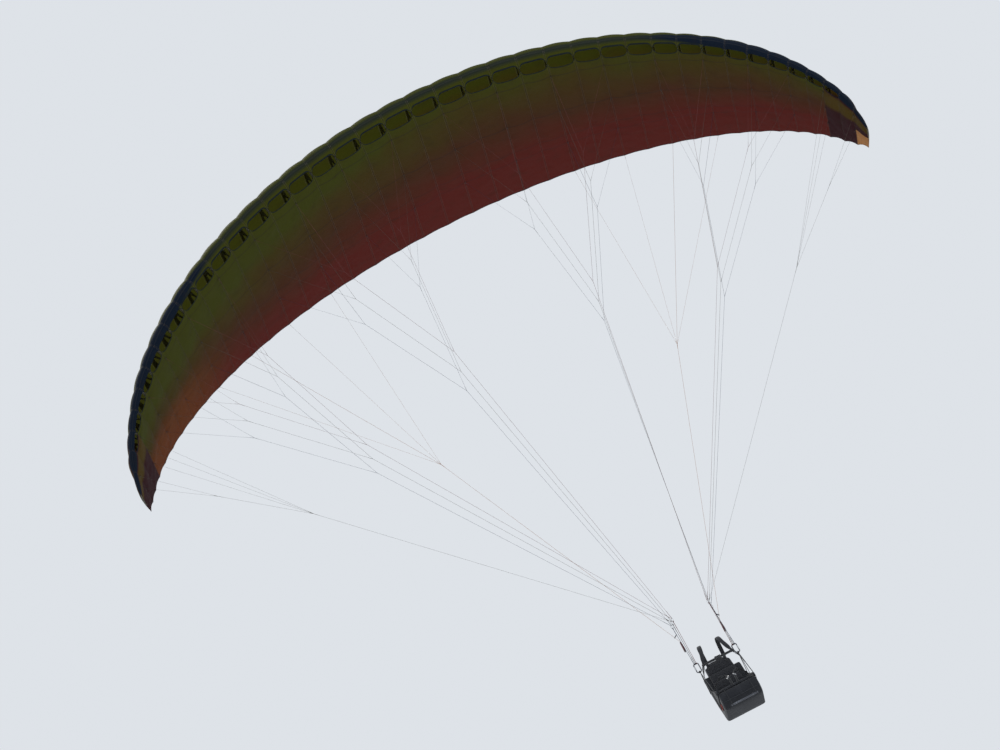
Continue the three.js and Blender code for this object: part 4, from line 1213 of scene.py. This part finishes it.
def cushions():
    trim = Builder()
    for make in (seat_pad, back_pad, protector, pocket):
        make(trim)
    for side in (1, -1):
        hip_panel(trim, side)
    trim.done("harness_piping", PIPING, "harness")
    seam_tapes()


def hang_webbing(side):
    """A folded loop round the hang link's lower bar, and three legs with bar tack patches."""
    eye_at, low = at(HANG_X, HANG_Y, 0), SEAT_LOW + 0.012
    legs = [at(HANG_X, y, low) for y in (SEAT_FRONT + 0.04, SEAT_REAR - 0.03)]
    legs.append(on_back(HANG_X, 0.29, 0.02))
    build = Builder(side)
    # The leg to the back runs on by more, over the protector's side, where it is sewn down.
    for leg, more in zip(legs, (0.0, 0.0, 0.048)):
        way, long = unit(leg - eye_at), np.linalg.norm(leg - eye_at)
        cross = np.cross(way, X)
        spots = [0.010, 0.016, 0.024, 0.040, 0.06, *np.linspace(0.085, long + more - 0.004, 24), long + more]
        sizes = [0.4, 0.5, 0.62, 0.8, 0.95] + [1] * 24 + [0.9]
        sunk = 0.0022 * (more > 0) * smooth((np.array(spots) - long + 0.03) / 0.04)
        path = eye_at + np.outer(spots, way) - np.outer(sunk, X)
        sweep(build, path, web_profile(0.027, 0.0034), cross, sizes)
        foot = leg if more else leg + 0.0022 * X
        rod(build, foot, way, more - 0.045, more - 0.004, web_profile(0.025, 0.0012), cross, 0.002, 0.9)
    eye = arc(eye_at, -0.0098 * Z, 0.0098 * Y, around(0.1, 27))
    sweep(build, eye, web_profile(0.020, 0.0042), X)
    build.done("hang_web", WEB, "harness", "hang_webbing")


def ladder(build, centre, along, side, out, wide):
    """A three-bar adjuster standing on a strap."""
    centre = centre + out * 0.0022
    for v in (-0.011, 0.0, 0.011):
        rod(build, centre + along * v, side, -wide / 2, wide / 2, circle(0.0018, 10), out, 0.001, 0.85)
    for w in (-wide / 2, wide / 2):
        rod(build, centre + side * w, along, -0.0125, 0.0125, circle(0.0021, 10), out, 0.001, 0.8)


def padded_strap(name, side, route, hints, thick, pad, fade, ripple, clip_at, clip_wide, piped):
    """Webbing along a route, with an adjuster, and a pad given by its first and last point, width and
    thickness, which narrows over fade points at each end and ripples."""
    path = curve_through(route, len(hints))
    first, last, pad_wide, pad_thick = pad
    on, turned = path[first:last], hints[first:last]
    k = np.arange(last - first)
    sizes = np.clip(np.minimum(k, k[::-1]) / fade, 0.35, 1) ** 0.5 * (1 + ripple * np.cos(0.7 * k))
    build = Builder(side)
    sweep(build, path, web_profile(0.025, thick), hints)
    build.done(name + "_web", WEB, "harness")
    build = Builder(side)
    sweep(build, on, pad_profile(pad_wide, pad_thick), turned, sizes)
    build.done(name + "_pad", STRAP_SPACER, "harness", name + "_strap")
    if piped:
        build = Builder(side)
        across = frames_along(on, turned)[2] * 0.0196 * sizes[:, None]
        for way in (-1, 1):
            sweep(build, on + way * across, circle(0.0017, 8), turned)
        build.done(name + "_edge", PIPING, "harness")
    build = Builder(side)
    ladder(build, *(field[clip_at] for field in frames_along(path, hints)), clip_wide)
    build.done(name + "_adjuster", STEEL, "harness")


def turning(first, last, share):
    """Width directions that turn from first to last over the shares 0.6 to 1 of a strap."""
    turn = smooth((share - 0.6) / 0.4)[:, None]
    return first * (1 - turn) + last * turn


def shoulder_strap(side):
    """Padded over the shoulder, plain webbing down to the side, with an adjuster."""
    route = [
        on_back(0.1, 0.5, -0.007), on_back(0.1, 0.56, -0.011), at(0.102, 0.205, 0.232),
        at(0.104, 0.12, 0.262), at(0.108, 0.03, 0.225), at(0.124, -0.024, 0.13), at(0.158, -0.04, 0.02),
        at(0.192, -0.034, -0.05), at(0.2105, -0.022, -0.098), at(0.2168, -0.0185, -0.132),
        at(0.2168, -0.0415, -0.164),
    ]
    hints = turning(X, np.array([0, 0.97, 0.25]), np.arange(101) / 90)
    padded_strap("shoulder", side, route, hints, thick=0.0028, pad=(8, 62, 0.040, 0.0098), fade=5,
                 ripple=0.02, clip_at=68, clip_wide=0.032, piped=True)


def leg_strap(side):
    """A padded loop from the hip panel's inner face to the seat's front."""
    route = [
        at(HIP_INNER + 0.0012, 0.026, -0.364), at(HIP_INNER - 0.0015, 0.012, -0.32), at(0.182, -0.02, -0.282),
        at(0.14, -0.08, -0.252), at(0.09, -0.15, -0.25), at(0.048, -0.225, -0.29),
        at(0.034, SEAT_FRONT - 0.01, -0.365), at(0.032, SEAT_FRONT - 0.0035, SEAT_MIDDLE - 0.006),
    ]
    hints = turning(Y, X, np.linspace(0, 1, 73))
    padded_strap("leg", side, route, hints, thick=0.0026, pad=(14, 50, 0.038, 0.0068), fade=4,
                 ripple=0, clip_at=58, clip_wide=0.030, piped=False)


def buckle(build, centre, wide, tall, deep):
    """A side-squeeze buckle facing forward: a rounded housing with two pronged arms and a bar at each end."""
    t, d = tall / 2, deep / 2

    def block(shift, raised, half_long, half_tall, half_deep):
        section = corner_arcs(half_tall, half_deep, 0.35 * half_deep, 4)
        spots = half_long * np.array([-1, -0.92, -0.75, 0.75, 0.92, 1])
        beam(build, centre + shift * X + raised * Z, X, spots, section, Z, (0.7, 0.92, 1, 1, 0.92, 0.7))

    block(-0.32 * wide, 0, 0.17 * wide, t, d)
    block(0.30 * wide, 0, 0.19 * wide, t * 0.86, d * 0.9)
    block(0, 0, 0.16 * wide, t * 0.42, d * 0.7)
    for s in (-1, 1):
        block(0, s * t * 0.74, 0.2 * wide, t * 0.17, d * 0.62)
        bar = centre + s * 0.465 * wide * X
        rod(build, bar, Z, -0.95 * t, 0.95 * t, circle(0.0028, 10), -Y, 0.05 * t, 0.8)


def chest_strap():
    """Webbing across the chest, set back at its sewn ends, with a buckle."""
    def chest(x):
        return at(x, -0.05 + 0.0086 * smooth((abs(x) - 0.140) / 0.022), -0.004)

    build = Builder()
    sweep(build, [chest(x) for x in np.linspace(-0.182, 0.182, 53)], web_profile(0.0276, 0.0026), Z)
    for s in (-1, 1):
        end = chest(s * 0.1805) - 0.0018 * Y
        rod(build, end, -s * X, 0, 0.018, web_profile(0.026, 0.0014), Z, 0.0015, 0.9)
    build.done("chest_web", WEB, "harness", "chest_strap")
    build = Builder()
    buckle(build, at(0, -0.055, -0.004), 0.064, 0.044, 0.013)
    build.done("chest_buckle", PLASTIC, "harness")


def reserve_handle():
    """A stitched loop of red webbing on the protector's right side."""
    ring = [at(-0.2203, y - 0.11, z - 0.53) for y, z in corner_arcs(0.049, 0.017, 0.013)]
    build = Builder()
    sweep(build, ring + ring[:2], web_profile(0.0098, 0.011), X)
    build.done("reserve_grip", HANDLE_WEB, "harness", "reserve_handle")


def speed_bar():
    """A tube with capped ends, and two cords up to the seat's front."""
    y, z, cord_x, cord = SEAT_FRONT - 0.045, -0.64, 0.135, 0.0024
    build = Builder()
    half = [(-0.15, 0.72), (-0.1485, 1.05), (-0.138, 1.05), (-0.1375, 1)]
    spots, sizes = zip(*half, *[(-v, size) for v, size in half[::-1]])
    beam(build, at(0, y, z), X, spots, circle(0.0105, 24), Z, sizes)
    build.done("speed_tube", ALLOY, "harness", "speed_bar")
    build = Builder()
    top, low = at(cord_x, SEAT_FRONT - 0.0029, SEAT_MIDDLE + 0.005), at(cord_x, y, z + 0.012)
    path = [low, lerp(low, top, 0.5), lerp(low, top, 0.98), top + (0, 0.004, 0.003), top + (0, 0.013, 0.004)]
    sweep(build, path, circle(cord, 10), X)
    sweep(build, arc(at(cord_x, y, z), 0.0128 * Z, 0.0128 * Y, around(0, 21)), circle(cord, 8), X)
    beam(build, low, top - low, (0, 0.02, 0.12, 0.14), circle(0.0036, 10), X, (0.7, 1, 1, 0.7))
    build.both_sides()
    build.done("speed_cords", BLACK_CORD, "harness")


def harness():
    cushions()
    for side in (1, -1):
        hang_webbing(side)
        shoulder_strap(side)
        leg_strap(side)
    chest_strap()
    reserve_handle()
    speed_bar()


# Floor, backdrop and light: plain, pale and soft
LAMPS = (
    ("key", (-9.0, 16.0, 22.0), 16.0, 5200.0, (1.0, 0.95, 0.88)),
    ("fill", (12.0, -16.0, 6.0), 14.0, 900.0, (0.92, 0.96, 1.0)),
)


def stage(height):
    m = Material("pale_floor", roughness=0.9)
    shades = [(0.3, (0.775, 0.785, 0.795)), (0.7, (0.785, 0.795, 0.805))]
    m.finish(m.ramp(m.noise(m.place(), 0.05, 2.0), shades))
    corners = [(x * 900.0, y * 900.0, height) for x, y in ((-1, -1), (1, -1), (1, 1), (-1, 1))]
    add_mesh("floor", corners, [(0, 1, 2, 3)], m.material)
    world = bpy.data.worlds.new("studio")
    scene.world = world
    world.use_nodes = True
    back = world.node_tree.nodes["Background"]
    back.inputs["Color"].default_value = (0.86, 0.90, 0.95, 1)
    back.inputs["Strength"].default_value = 0.85
    for name, spot, size, energy, color in LAMPS:
        data = bpy.data.lights.new(name, "AREA")
        data.shape, data.size, data.energy, data.color = "DISK", size, energy, color
        lamp = add_object(name, data)
        lamp.location = spot
        lamp.rotation_mode = "QUATERNION"
        lamp.rotation_quaternion = (Vector((0, 0.4, -3)) - Vector(spot)).to_track_quat("-Z", "Y")
    scene.view_settings.view_transform = "Standard"


eye = camera()
canopy()
rear_strips()
ribs()
rigging()
hardware()
harness()
stage(eye.z - 0.12)
